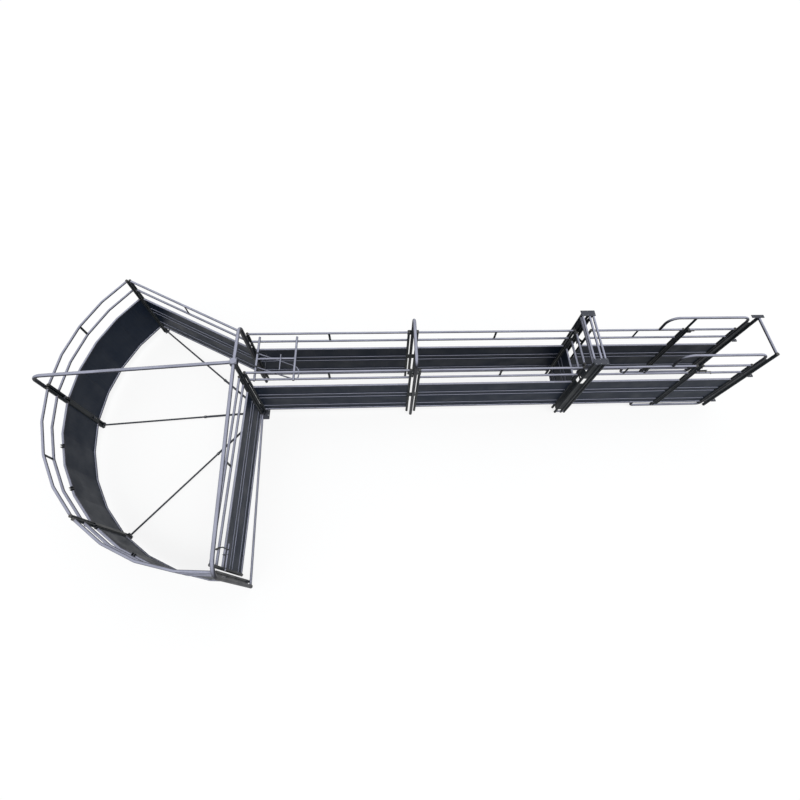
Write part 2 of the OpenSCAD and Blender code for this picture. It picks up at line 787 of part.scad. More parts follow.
module stop_gate_bolt() {
    color(dark_colour) at_stop_gate() translate([stop_len, 0, 0]) mirror([0, 1, 0]) bolt();
}

// Bent loop with its jamb and the gate's hinge rings
module side_frame() {
    color(tube_colour) {
        difference() {
            translate([loop_x, 0, top_z])
                cylinder(h = bow_z - loop_rise - weld_gap - top_z, d = post_d);
            rod([loop_x - 50, 0, top_z], [loop_x + 50, 0, top_z], rail_d + 2 * weld_gap);
        }
        translate([loop_x + loop_rise, 0, bow_z - loop_rise]) mirror([1, 0, 0])
            quarter(loop_rise, post_d);
        rod([loop_x + loop_rise + weld_gap, 0, bow_z],
            [frame_x - bow_bend - weld_gap, 0, bow_z], post_d);
        translate([frame_x - bow_bend, 0, bow_z - bow_bend]) quarter(bow_bend, post_d);
        translate([frame_x, 0, sill_z + loop_turn + weld_gap])
            cylinder(h = bow_z - bow_bend - sill_z - loop_turn - 2 * weld_gap, d = post_d);
        translate([frame_x - loop_turn, 0, sill_z + loop_turn]) mirror([0, 0, 1])
            quarter(loop_turn, post_d);
        rod([loop_x + loop_turn + weld_gap, 0, sill_z],
            [frame_x - loop_turn - weld_gap, 0, sill_z], post_d);
        translate([loop_x + loop_turn, 0, sill_z + loop_turn]) mirror([1, 0, 0])
            mirror([0, 0, 1]) quarter(loop_turn, post_d);
        difference() {
            translate([loop_x, 0, sill_z + loop_turn + weld_gap])
                cylinder(h = bottom_z - sill_z - loop_turn - weld_gap, d = post_d);
            rod([loop_x - 50, 0, bottom_z], [loop_x + 50, 0, bottom_z], rail_d + 2 * weld_gap);
        }
        difference() {
            translate([jamb_x, 0, sill_z]) cylinder(h = bow_z - sill_z, d = rail_d);
            for (z = [sill_z, bow_z])
                rod([jamb_x - 50, 0, z], [jamb_x + 50, 0, z], post_d + 2 * weld_gap);
        }
        for (z = [gate_zs[0], gate_zs[2]]) translate([hinge_x, 0, ring_z(z)])
            hinge_ring(frame_x - hinge_x);
    }
}

module near_side_frame() { side_frame(); }
module far_side_frame() { far_side() side_frame(); }

module near_side_gate_frame() {
    color(tube_colour) translate([gate_x, 0, 0]) {
        ladder(gate_len, gate_zs, [120, 120], []);
        rotate([0, 0, 180]) bolt_guides();
    }
}

module near_side_gate_sheet() {
    color(sheet_colour) translate([gate_x, 0, 0]) ribbed_sheet(gate_len, gate_bottom_z, 1);
}

module near_gate_bolt() {
    color(dark_colour) translate([gate_x, 0, 0]) rotate([0, 0, 180]) bolt();
}

module far_side_gate_frame() { far_side() near_side_gate_frame(); }
module far_side_gate_sheet() { far_side() near_side_gate_sheet(); }
module far_gate_bolt() { far_side() near_gate_bolt(); }

// Keeper on the jamb: two plates and a strap round the bolt's way
module keeper() {
    g = bolt_d / 2 + bolt_clear;
    y1 = -rail_d / 2 - weld_gap;
    y0 = -bolt_off - g;
    for (s = [-1, 1]) translate([jamb_x - 12, y0, bolt_z - 3 + s * (g + 3)])
        cube([24, y1 - y0, 6]);
    translate([jamb_x - 12, y0 - 6 - weld_gap, bolt_z - g - 6]) cube([24, 6, 2 * g + 12]);
}

module gate_keepers() {
    color(dark_colour) {
        keeper();
        far_side() keeper();
    }
}

module end_frame() {
    color(tube_colour) {
        for (y = [0, alley_w]) translate([end_x, y, 0])
            cylinder(h = bow_z + bow_d / 2, d = bow_d);
        difference() {
            rod([end_x, 0, bow_z], [end_x, alley_w, bow_z], post_d);
            for (y = [0, alley_w]) translate([end_x, y, bow_z - 50])
                cylinder(h = 100, d = bow_d + 2 * weld_gap);
        }
    }
}

module end_spacers() {
    color(dark_colour) for (y = [0, alley_w])
        web([frame_x, y], post_d, [end_x, y], bow_d, web_low[0], web_high[1]);
    color(dark_colour) translate([frame_x - 25, alley_w - 32, bow_z + bow_d / 2 + weld_gap])
        cube([240, 64, plate_t]);
}

module chute_lugs() {
    x0 = end_x + bow_d / 2 + weld_gap;
    color(dark_colour) for (y = [0, alley_w]) for (z = [230, 1400]) difference() {
        translate([x0, y - 30, z - 8]) cube([100, 60, 16]);
        translate([x0 + 70, y, z - 9]) cylinder(h = 18, d = lug_bore);
    }
}

pivot_base();
pivot_post();
pivot_head();
rim_overhead_bow();
entry_overhead_bow();
alley_entrance_bow();
rim_panel_1_frame();
rim_panel_1_sheet();
rim_panel_2_frame();
rim_panel_2_sheet();
rim_panel_3_frame();
rim_panel_3_sheet();
lead_panel_frame();
lead_panel_sheet();
panel_joint_lugs();
drop_pins();
tub_links();
floor_brace_1();
floor_brace_2();
floor_brace_3();
entry_threshold();
latch_catches();
sweep_gate_frame();
sweep_gate_sheet();
sweep_gate_collars();
sweep_latch_bolt();
near_panel_1_frame();
near_panel_1_sheet();
near_panel_2_frame();
near_panel_2_sheet();
near_panel_3_frame();
near_panel_3_sheet();
far_panel_1_frame();
far_panel_1_sheet();
far_panel_2_frame();
far_panel_2_sheet();
far_panel_3_frame();
far_panel_3_sheet();
mid_bow();
alley_links();
backstop_bars();
backstop_cradle();
backstop_flap();
stop_portal();
portal_plates();
stop_gate_frame();
stop_gate_sheet();
stop_gate_bolt();
near_side_frame();
far_side_frame();
near_side_gate_frame();
near_side_gate_sheet();
far_side_gate_frame();
far_side_gate_sheet();
near_gate_bolt();
far_gate_bolt();
gate_keepers();
end_frame();
end_spacers();
chute_lugs();
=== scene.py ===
from functools import partial
from math import asin, atan2, cos, degrees, floor, hypot, pi, radians, sin, sqrt, tan
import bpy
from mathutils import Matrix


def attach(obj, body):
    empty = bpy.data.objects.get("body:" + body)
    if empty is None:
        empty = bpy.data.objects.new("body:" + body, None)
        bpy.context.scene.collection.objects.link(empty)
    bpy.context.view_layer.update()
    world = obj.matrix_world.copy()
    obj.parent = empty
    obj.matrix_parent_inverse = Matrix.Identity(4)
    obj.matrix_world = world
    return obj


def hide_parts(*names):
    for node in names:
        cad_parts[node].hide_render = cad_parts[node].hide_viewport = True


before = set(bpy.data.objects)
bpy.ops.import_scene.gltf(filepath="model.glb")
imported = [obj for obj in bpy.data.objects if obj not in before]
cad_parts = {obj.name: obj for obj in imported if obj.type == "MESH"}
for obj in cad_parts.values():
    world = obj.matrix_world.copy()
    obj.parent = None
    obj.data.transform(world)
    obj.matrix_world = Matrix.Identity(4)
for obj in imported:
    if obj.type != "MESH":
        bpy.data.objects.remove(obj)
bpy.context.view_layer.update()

from types import SimpleNamespace

import bpy
import numpy as np
from bpy.props import FloatProperty, FloatVectorProperty, PointerProperty
from mathutils import Matrix

bl_info = {
    "name": "Livestock Sweep Tub",
    "version": (1, 0, 0),
    "blender": (4, 5, 0),
    "location": "View3D > Sidebar > Sweep Tub",
    "description": "Dresses the sweep tub and its working alley as painted steel tube "
                   "and pressed sheet",
    "category": "Add Mesh",
}

X, Y, Z = np.eye(3)

# Millimetres that many pieces share
HALF_T = 4               # half the thickness of plates and flat bars
BITE = 3                 # how far sheets and plates reach in under their welds
FINE_WELD, WELD = 2.6, 3.0    # radius of the stitch welds on sheets and on plates


# Sizes and colours

def linear(code):
    """Linear red, green and blue of an sRGB hex colour."""
    c = np.array([int(code[i:i + 2], 16) for i in (1, 3, 5)]) / 255
    return tuple(np.where(c <= 0.04045, c / 12.92, ((c + 0.055) / 1.055) ** 2.4))


def length(name, description, millimetres):
    return FloatProperty(name=name, description=description, default=millimetres / 1000,
                         min=0, precision=4, subtype="DISTANCE", unit="LENGTH")


def colour(name, description, code):
    return FloatVectorProperty(name=name, description=description, default=linear(code),
                               size=3, min=0, max=1, subtype="COLOR")


class TubSizes(bpy.types.PropertyGroup):
    """Sizes of the steel tub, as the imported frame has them."""
    top_z: length("Top rail", "Height of the top rail's centre", 1830)
    mid_z: length("Second rail", "Height of the second rail's centre", 1560)
    sheet_z: length("Sheet rail", "Height of the rail along the top edge of the sheets", 1255)
    bottom_z: length("Bottom rail", "Height of the bottom rail's centre", 225)
    bow_z: length("Overhead tubes", "Height of the overhead tubes' centre", 2230)
    rail_d: length("Rail diameter", "Outside diameter of the rails", 42.4)
    post_d: length("Post diameter", "Outside diameter of the panel and gate posts", 48.3)
    bow_d: length("Bow diameter", "Outside diameter of the bows and end posts", 60.3)
    pivot_d: length("Pivot diameter", "Outside diameter of the pivot post", 76.1)
    brace_d: length("Brace diameter", "Outside diameter of the floor braces", 33.7)
    sheet_t: length("Sheet thickness", "Thickness of the sheets", 3)
    rib_depth: length("Rib depth", "Depth of the pressed ribs", 14)
    rib_w: length("Rib width", "Width of a pressed rib at its foot", 75)
    tub_r: length("Tub radius", "Radius of the rim at the panel joints", 3140)
    alley_w: length("Alley width", "Distance between the near and far panels", 790)
    mid_bow_x: length("Middle bow", "Place of the middle bow along the alley", 3050)
    stop_x: length("Stop gate", "Place of the stop gate along the alley", 6130)
    side_x: length("Last post", "Last post of the third panels", 8220)
    gate_len: length("Side gate", "Length of a side gate between its posts", 930)
    bead_r: length("Weld bead", "Radius of a weld bead", 3.2)


class TubColours(bpy.types.PropertyGroup):
    """Colours of the finishes."""
    rail: colour("Rail paint", "Enamel on the rails, where the light doesn't reach", "#161821")
    faded: colour("Faded paint", "The enamels on the sides that face the sky", "#9799a9")
    post: colour("Post paint", "Enamel on posts and fittings", "#0d151b")
    sheet: colour("Sheet paint", "Enamel on the pressed sheets", "#0a1829")
    dust: colour("Dust", "Dry yard dust", "#a5a29a")
    weld: colour("Weld", "Paint burnt thin over the weld beads", "#2b2a30")
    zinc: colour("Zinc", "Plated bolts and washers", "#9fa3a6")
    steel: colour("Worn steel", "Bolts rubbed bright by their guides", "#8b8986")
    cap: colour("End cap", "Black polyethylene tube plugs", "#1b1c1f")
    chip: colour("Chips", "Primer and rust where the enamel is chipped", "#5b5049")
    floor: colour("Floor", "Pale floor", "#f2f2f1")


def plan():
    """The measures in millimetres: the sizes of the panel and what follows from them.
    Names that end in _z are heights, _x places along the alley, _a angles in degrees."""
    sizes = bpy.context.scene.tub_sizes
    p = SimpleNamespace(**{k: getattr(sizes, k) * 1000 for k in TubSizes.__annotations__})
    p.post_r, p.rail_r, p.bow_r = p.post_d / 2, p.rail_d / 2, p.bow_d / 2
    upper = [p.sheet_z, p.mid_z, p.top_z]
    p.rail_zs, p.sweep_zs = [p.bottom_z, *upper], [180, *upper]
    p.stop_zs, p.gate_zs = [150, *upper], [205, *upper]
    p.post_top = p.top_z + p.rail_r
    p.ribs = (0.17, 0.5425, 0.68)
    # Pivot, rim and lead panel
    p.base_t, p.hub_h, p.head_w, p.head_h = 12, 56, 120, 124
    p.rim_start, p.rim_step, p.chords, joint_gap = 139.5, 44.3, 4, 62
    p.joint_off = degrees(asin(joint_gap / 2 / p.tub_r))
    p.chord_a = (p.rim_step - 2 * p.joint_off) / p.chords
    p.brace_z = 40
    p.hub_r = p.rail_r / sin(radians(p.rim_step / 2)) + 1
    reach = p.post_r + p.bow_r
    p.rim_bow_a = p.rim_start + p.rim_step
    p.joint_r = p.tub_r * cos(radians(p.joint_off))
    p.rim_bow_r = p.joint_r + sqrt(reach ** 2 - (joint_gap / 2) ** 2)
    aside = p.rail_r + p.post_r + 0.3 - joint_gap / 2
    p.entry_a = p.rim_start + 3 * p.rim_step + degrees(asin(aside / p.tub_r))
    p.entry_bow_r = p.tub_r + 80
    p.entrance = np.array([-8, p.alley_w - 70])
    first = p.tub_r * along(p.rim_start)
    p.lead_end = np.array([-100, p.alley_w + 50])
    run = unit(p.lead_end - first)
    p.lead_post = first + 45 * run
    p.lead_a = heading(run)
    p.lead_len = float(np.hypot(*(p.lead_end - p.lead_post)))
    # Sweep gate and its latch
    p.sweep_in, p.sweep_out, p.sweep_a = 84, p.tub_r - 100, 270
    p.collar_zs = [p.sweep_zs[0] + p.rail_r + 40, p.mid_z + p.rail_r + 70]
    p.latch_off, p.latch_z = 64, p.sheet_z + p.rail_r + 34
    p.latch_d, p.latch_len = 26, 385
    p.catch_as = [198.8, 213.6, 228.6, 243.2]
    # Alley: the first two panels, the portal, the third panels and the side gates
    p.back, p.alley_x, p.far_x, p.bow_off, p.portal_off = 80, 76, 25, 75, 105
    p.p1 = p.mid_bow_x - p.back - p.alley_x
    p.far1 = p.mid_bow_x - p.back - p.far_x
    p.p2_x = p.mid_bow_x + p.back
    p.p2_end = p.stop_x - 32
    p.p2 = p.p2_end - p.p2_x
    p.hoops = [p.stop_x, p.stop_x + 125, p.stop_x + 195]
    p.p3_x = p.hoops[2] + 95
    p.p3 = p.side_x - p.p3_x
    p.hinge_y = 75
    p.stop_len = p.alley_w - p.hinge_y - 55
    p.jamb_x = p.side_x + 50
    p.gate_x = p.jamb_x + 55
    p.hinge_x = p.gate_x + p.gate_len
    p.frame_x = p.hinge_x + 60
    p.loop_x = p.side_x - 460
    p.end_x = p.frame_x + 135
    p.sill_z = 60
    # Backstop
    p.cross_x, p.cross_z = [190, 880], p.mid_z + p.rail_d
    p.flap_d, p.flap_w, p.flap_len, p.flap_slope = 25.4, 280, 880, 41
    flap_y = p.alley_w / 2 - 25 - p.flap_w / 2
    p.flap_ys = flap_y, flap_y + p.flap_w
    # Sliding bolts, links and web plates
    p.bolt_z = (p.mid_z + p.top_z) / 2
    p.bolt_off, p.bolt_d, p.bolt_len = 48, 16, 265
    p.bolt_clear = p.bolt_d / 2 + 3
    p.link_zs = [430, 1400]
    p.bow_link_zs = [870, p.top_z - p.rail_d]
    p.webs = [(150, 1390), (1600, p.bow_z - 170)]
    p.low_webs = [(150, 1390), (1600, p.top_z)]
    return p


# Places

def along(a):
    """Unit vector on the floor at angle a in degrees."""
    return np.array([cos(radians(a)), sin(radians(a))])


def heading(v):
    """Angle of a vector on the floor in degrees."""
    return degrees(atan2(v[1], v[0]))


def unit(v):
    return v / np.linalg.norm(v, axis=-1, keepdims=True)


def shift(x=0, y=0, z=0):
    m = np.eye(4)
    m[:3, 3] = x, y, z
    return m


def turn(a):
    """Turn about the vertical by a degrees."""
    m = np.eye(4)
    c, s = along(a)
    m[:2, :2] = [[c, -s], [s, c]]
    return m


def axes(origin, x, y):
    """Frame with its X and Y along the given directions and Z square to both."""
    m = np.eye(4)
    x, y = unit(np.array(x, float)), unit(np.array(y, float))
    m[:3, 0], m[:3, 1], m[:3, 2], m[:3, 3] = x, y, np.cross(x, y), origin
    return m


def mirrored(width=0.0):
    """Mirror across the plane halfway to y = width: the far side is the near side so seen."""
    m = np.diag([1.0, -1.0, 1.0, 1.0])
    m[1, 3] = width
    return m


def sides(p):
    return ("Near", np.eye(4)), ("Far", mirrored(p.alley_w))


def rim_corner(p, k, j):
    """Angle of corner j of rim panel k."""
    return p.rim_start + k * p.rim_step + p.joint_off + j * p.chord_a


# Surfaces

class Form:
    """Closed surfaces of one piece, gathered in millimetres and made into one mesh."""

    def __init__(self, place=np.eye(4)):
        self.home = self.place = place
        self.points, self.corners, self.sizes, self.skins, self.wears = [], [], [], [], []
        self.names, self.count = [], 0

    def at(self, *moves):
        """Sets the frame that the next surfaces are given in, inside the piece's own."""
        self.place = self.home
        for m in moves:
            self.place = self.place @ m
        return self

    def patch(self, rings, skin, wear=0.0, loop=False):
        """Points on a grid: ring i, point j. Quads join each ring to the next and each
        ring to itself. An open row of rings gets a flat face on either end, and the
        signed volume tells whether the faces have to be turned to point outwards."""
        rings = np.asarray(rings, float) @ self.place[:3, :3].T + self.place[:3, 3]
        a, b = rings.shape[:2]
        i, j = np.arange(a if loop else a - 1)[:, None], np.arange(b)[None]
        k, l = (i + 1) % a, (j + 1) % b
        quads = np.stack([i * b + j, i * b + l, k * b + l, k * b + j], -1).reshape(-1, 4)
        ends = [] if loop else [np.arange(b)[::-1], (a - 1) * b + np.arange(b)]
        flat = rings.reshape(-1, 3)
        fans = [np.stack([np.full(b - 2, e[0]), e[1:-1], e[2:]], 1) for e in ends]
        t = flat[np.concatenate([quads[:, :3], quads[:, [0, 2, 3]], *fans])] - flat.mean(0)
        if np.einsum("ij,ij", np.cross(t[:, 0], t[:, 1]), t[:, 2]) < 0:
            quads, ends = quads[:, ::-1], [e[::-1] for e in ends]
        if skin not in self.names:
            self.names.append(skin)
        self.points.append(flat)
        self.corners += [quads.ravel() + self.count] + [e + self.count for e in ends]
        self.sizes += [np.full(len(quads), 4), np.full(len(ends), b)]
        self.skins.append(np.full(len(quads) + len(ends), self.names.index(skin)))
        wear = np.asarray(wear, float)
        wear = np.broadcast_to(wear[:, None] if wear.ndim == 1 else wear, (a, b))
        self.wears.append(wear.ravel())
        self.count += a * b
        return self

    def tube(self, path, d, skin, n=20, wear=0.0):
        """A circle of diameter d carried along a flat path: point j of ring i is
        path(i) + d/2 (cos u B + sin u T x B), with T the path's direction and B the
        normal of its plane, which is the direction of the path's least spread."""
        path = np.asarray(path, float)
        t = unit(np.gradient(path, axis=0))
        b = np.linalg.svd(path - path.mean(0))[2][2]
        b = unit(b - t * (t @ b)[:, None])
        u = (np.arange(n) * 2 * pi / n)[None, :, None]
        spokes = np.cos(u) * b[:, None] + np.sin(u) * np.cross(t, b)[:, None]
        return self.patch(path[:, None] + d / 2 * spokes, skin, wear)

    def bar(self, p, q, d, skin, n=20, chamfer=0.0):
        """Straight round bar whose wear fades away from both of its ends, and whose
        ends are chamfered where they show."""
        p, q = np.array(p, float), np.array(q, float)
        size = float(np.linalg.norm(q - p))
        s = np.array([0, 0.3, 1, 3]) * min(25.0, size / 8)
        s = np.concatenate([s, [size / 2], (size - s)[::-1]])
        if chamfer:
            s = np.concatenate([[0, chamfer], s[2:-2], [size - chamfer, size]])
        wear = end_wear(s)
        if not chamfer:
            return self.tube(p + unit(q - p) * s[:, None], d, skin, n, wear)
        r = np.full(len(s), d / 2)
        r[[0, -1]] -= chamfer
        return self.lathe(p, q - p, np.stack([r, s], 1), skin, n, wear=wear)

    def lathe(self, base, axis, profile, skin, n=24, loop=False, wear=0.0):
        """A profile (radius, height) turned about an axis: the point is
        base + height A + radius (cos u E + sin u A x E). A closed profile makes a ring."""
        a = unit(np.array(axis, float))
        e = unit(np.cross(a, [0.3, 0.9, 0.1] if abs(a[2]) > 0.7 else Z))
        radius, height = np.asarray(profile, float).T[:, :, None, None]
        u = np.arange(n) * 2 * pi / n
        spokes = np.cos(u)[:, None] * e + np.sin(u)[:, None] * np.cross(a, e)
        points = np.array(base, float) + height * a + radius * spokes
        return self.patch(points, skin, wear, loop)

    def plate(self, outline, z0, z1, chamfer=1.0, wear=0.3, skin="post"):
        """A flat outline made thick: four rings, the outer two drawn in towards the
        middle by the chamfer."""
        outline = np.asarray(outline, float)
        inner = outline - chamfer * unit(outline - outline.mean(0))
        rings = [np.column_stack([o, np.full(len(o), z)]) for o, z in
                 ((inner, z0), (outline, z0 + chamfer), (outline, z1 - chamfer), (inner, z1))]
        return self.patch(rings, skin, wear)

    def block(self, lo, hi, chamfer=1.2, wear=0.3, skin="post"):
        """Flat bar or plate with its edges broken."""
        (x0, y0, z0), (x1, y1, z1), c = lo, hi, chamfer
        outline = [(x0 + c, y0), (x1 - c, y0), (x1, y0 + c), (x1, y1 - c),
                   (x1 - c, y1), (x0 + c, y1), (x0, y1 - c), (x0, y0 + c)]
        return self.plate(outline, z0, z1, c * 0.8, wear, skin)

    def bead(self, x, y, z, a, post_r, rail_r, size):
        """Weld bead where a level rail meets a post. The rail leaves the post at a degrees.
        Its line is the saddle (sqrt(R^2 - r^2 cos^2 v), r cos v, r sin v), and the bead is
        a small circle carried round it, with nine ripples."""
        keep = self.place
        self.place = keep @ shift(x, y, z) @ turn(a)
        v = np.arange(18) * 2 * pi / 18
        w = (np.arange(4) * 2 * pi / 4 + 0.4)[None, :, None]
        line = np.stack([np.sqrt(post_r ** 2 - (rail_r * np.cos(v)) ** 2),
                         rail_r * np.cos(v), rail_r * np.sin(v)], 1)
        out = np.stack([0 * v, np.cos(v), np.sin(v)], 1)[:, None]
        b = (size * (1 + 0.14 * np.sin(v * 9)))[:, None, None]
        spokes = b * (np.cos(w) * out + np.sin(w) * X)
        self.patch(line[:, None] + spokes, "weld", 1.0, loop=True)
        self.place = keep
        return self

    def stitch(self, centre, way, reach, size=WELD):
        """Short weld, from -reach to reach along an edge: a circle whose radius is
        size (1.02 - s^4) (1 + 0.1 cos 9 s), s going from -1 to 1 between the two ends."""
        centre, way = np.array(centre, float), np.array(way, float)
        s = np.linspace(-1, 1, 7)
        r = size * (1.02 - s ** 4) * (1 + 0.1 * np.cos(s * 9))
        return self.lathe(centre, way, np.stack([r, s * reach], 1), "weld", n=5, wear=1.0)

    def screw(self, base, axis, across):
        """Washer and hexagon head: a low ring of round section and a six-sided head."""
        r = across / 2 / cos(pi / 6)
        self.lathe(base, axis, [(r * 1.25, 0), (r * 1.25, 1.6), (r * 1.15, 2.2),
                                (r * 0.5, 2.2)], "zinc", n=14)
        return self.lathe(base, axis, [(r * 0.9, 2), (r, 2.6), (r, across * 0.55),
                                       (r * 0.86, across * 0.62)], "zinc", n=6)

    def collar(self, base, axis, bore, od, h):
        """Ring of rectangular section with its edges broken, turned about its axis."""
        r0, r1, c = bore / 2, od / 2, 1.5
        return self.lathe(base, axis, [(r0, c), (r0 + c, 0), (r1 - c, 0), (r1, c),
                                       (r1, h - c), (r1 - c, h), (r0 + c, h), (r0, h - c)],
                          "post", n=28, loop=True, wear=0.6)

    def post(self, x, y, foot, top, d, cap=True):
        """Upright tube, worn towards its foot, with a domed plug pressed into its top.
        The plug is a lip and a dome, as a profile turned about the tube's axis."""
        z = np.array([foot, foot + 2, foot + 60, foot + 240, (foot + top) / 2,
                      top - 60, top - 1.5, top])
        r = d / 2 + np.array([-2, 0, 0, 0, 0, 0, 0, -1.5])
        wear = np.exp(-(z - foot) / 90) + 0.3 * np.exp(-(top - z) / 40)
        self.lathe((x, y, 0), Z, np.stack([r, z], 1), "post", wear=wear)
        if cap:
            lip, dome = d / 2 + 0.9, d * 0.38
            self.lathe((x, y, top), Z,
                       [(d / 2 - 4, -0.5), (lip - 0.3, -0.5), (lip, 1.5), (d / 2 - 0.5, 4),
                        (dome, 6.4), (d * 0.2, 7.8), (2, 8.2)], "cap", n=20)
        return self

    def build(self, name, node, slot="hardware_paint", body="structure"):
        """Makes the mesh with foreach_set, rides it on its body and hides its CAD node."""
        mesh = bpy.data.meshes.new(name)
        points = np.concatenate(self.points) / 1000
        corners, sizes = np.concatenate(self.corners), np.concatenate(self.sizes)
        mesh.vertices.add(len(points))
        mesh.vertices.foreach_set("co", points.ravel())
        mesh.loops.add(len(corners))
        mesh.loops.foreach_set("vertex_index", corners)
        mesh.polygons.add(len(sizes))
        mesh.polygons.foreach_set("loop_start", np.cumsum(sizes) - sizes)
        mesh.polygons.foreach_set("material_index", np.concatenate(self.skins))
        mesh.polygons.foreach_set("use_smooth", np.ones(len(sizes), bool))
        mesh.update(calc_edges=True)
        if mesh.validate():
            raise RuntimeError(f"{name} has a face that isn't whole")
        mesh.set_sharp_from_angle(angle=radians(34))
        mesh.attributes.new("wear", "FLOAT", "POINT").data.foreach_set(
            "value", np.concatenate(self.wears).astype(np.float32))
        for key in self.names:
            mesh.materials.append(finish(key))
        piece = bpy.data.objects.new(name, mesh)
        bpy.context.scene.collection.objects.link(piece)
        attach(piece, body)
        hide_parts(node)
        return piece


def end_wear(s):
    """Wear at the distances s along a tube: exp(-distance from the nearer end / 45 mm)."""
    return np.exp(-np.minimum(s, s[-1] - s) / 45)


def edge_wear(u, v, run, height):
    """Wear of a sheet: 0.7 exp(-distance from the nearest edge / 30 mm), with u and v
    going from 0 to 1 along it and up it."""
    edge = np.minimum(np.minimum(u, 1 - u) * run, np.minimum(v, 1 - v) * height)
    return 0.7 * np.exp(-edge / 30)


def bent(points, radius, steps=9):
    """Straight runs joined by arcs. At each corner the arc of the given radius touches
    both runs, and its points turn from one touching point to the other."""
    points = [np.array(q, float) for q in points]
    out = [points[0]]
    for a, b, c in zip(points, points[1:], points[2:]):
        u, v = unit(a - b), unit(c - b)
        half = np.arccos(np.clip(u @ v, -1, 1)) / 2
        cut = radius / tan(half)
        centre = b + unit(u + v) * radius / sin(half)
        e0, e1 = b + u * cut - centre, b + v * cut - centre
        w = pi - 2 * half
        s = np.linspace(0, 1, steps)[:, None]
        out += list(centre + (np.sin((1 - s) * w) * e0 + np.sin(s * w) * e1) / sin(w))
    return np.array(out + [points[-1]])


def stations(path, step):
    """The same path with points no further apart than step, and how far along they are."""
    path = np.asarray(path, float)
    s = np.concatenate([[0], np.cumsum(np.linalg.norm(np.diff(path, axis=0), axis=1))])
    even = np.linspace(0, s[-1], max(2, int(s[-1] / step)))
    t = np.unique(np.concatenate([s, even]).round(2))
    return resampled(path, s, t), t


def resampled(path, s, t):
    """The path's points at the distances t, when its own points are at the distances s."""
    return np.stack([np.interp(t, s, column) for column in path.T], 1)


# Finishes

def add(tree, kind, inputs=None, out=0, **settings):
    """Adds a shader node and returns one of its outputs. Settings are the node's own, and
    an input is either a value for its socket or a socket to link to it."""
    made = tree.nodes.new("ShaderNode" + kind)
    for key, value in settings.items():
        setattr(made, key, value)
    for key, value in (inputs or {}).items():
        if isinstance(value, bpy.types.NodeSocket):
            tree.links.new(value, made.inputs[key])
        else:
            made.inputs[key].default_value = value
    return made.outputs[out] if made.outputs else None


def blank(name):
    """A new material without nodes, and the call that adds nodes to it."""
    material = bpy.data.materials.new(name)
    material.use_nodes = True
    material.node_tree.nodes.clear()
    return material, partial(add, material.node_tree)


def rgba(value):
    return (*value[:3], 1.0)


def enamel(name, base, slopes, fade, rough, shine, streaks):
    """Baked enamel on steel that has stood in the sun: paler and duller on what faces
    the sky, which begins and ends at the given slopes, a little dust in the same places,
    chips where parts are handled or welded, and the fine orange peel of sprayed paint."""
    tints = bpy.context.scene.tub_colours
    material, node = blank(name)
    where = node("TexCoord", out="Object")
    upward = node("SeparateXYZ", {0: node("NewGeometry", out="Normal")}, "Z")
    sky = node("MapRange", {"Value": upward, "From Min": slopes[0], "From Max": slopes[1]},
               interpolation_type="SMOOTHSTEP")
    # Cloudy change in the fading, in patches of about 400 mm
    cloud = node("TexNoise", {"Vector": where, "Scale": 2.5, "Detail": 4.0, "Roughness": 0.55})
    patchy = node("MapRange", {"Value": cloud, "From Min": 0.3, "From Max": 0.7,
                               "To Min": 0.78, "To Max": 1.12})
    amount = node("Math", {0: sky, 1: patchy}, operation="MULTIPLY")
    amount = node("Math", {0: amount, 1: fade}, operation="MULTIPLY", use_clamp=True)
    paint = node("Mix", {"Factor": amount, "A": rgba(base), "B": rgba(tints.faded)}, "Result",
                 data_type="RGBA")
    # Rain streaks 20 mm wide that run down the height of a sheet
    run = node("Mapping", {"Vector": where, "Scale": (50.0, 50.0, 1.6)})
    rain = node("TexNoise", {"Vector": run, "Scale": 1.0, "Detail": 3.0})
    rain = node("MapRange", {"Value": rain, "From Min": 0.52, "From Max": 0.72,
                             "To Max": streaks})
    dusty = node("Mix", {"Factor": rain, "A": paint, "B": rgba(tints.dust)}, "Result",
                 data_type="RGBA")
    # Dust that lies on upward faces, in grains drawn 8 mm wide so that they show
    grain = node("TexNoise", {"Vector": where, "Scale": 120.0, "Detail": 5.0,
                              "Roughness": 0.7})
    lying = node("MapRange", {"Value": grain, "From Min": 0.45, "From Max": 0.8,
                              "To Max": 0.2})
    lying = node("Math", {0: lying, 1: sky}, operation="MULTIPLY")
    dusty = node("Mix", {"Factor": lying, "A": dusty, "B": rgba(tints.dust)}, "Result",
                 data_type="RGBA")
    # Chips of about 10 mm round welds, ends and feet, where the wear passes 0.47
    wear = node("Attribute", out="Fac", attribute_name="wear")
    chip = node("TexNoise", {"Vector": where, "Scale": 95.0, "Detail": 3.0})
    chip = node("Math", {0: chip, 1: wear, 2: -0.47}, operation="MULTIPLY_ADD")
    chip = node("MapRange", {"Value": chip, "From Max": 0.08, "To Max": 0.7})
    final = node("Mix", {"Factor": chip, "A": dusty, "B": rgba(tints.chip)}, "Result",
                 data_type="RGBA")
    dull = node("MapRange", {"Value": cloud, "From Min": 0.3, "From Max": 0.7,
                             "To Min": rough - 0.08, "To Max": rough + 0.1})
    # Orange peel, 2 mm in truth, drawn 5 mm wide
    peel = node("TexNoise", {"Vector": where, "Scale": 200.0, "Detail": 2.0})
    bump = node("Bump", {"Height": peel, "Strength": 0.12, "Distance": 0.001})
    shader = node("BsdfPrincipled", {"Base Color": final, "Roughness": dull, "IOR": 1.5,
                                     "Specular IOR Level": shine, "Normal": bump})
    node("OutputMaterial", {"Surface": shader})
    return material


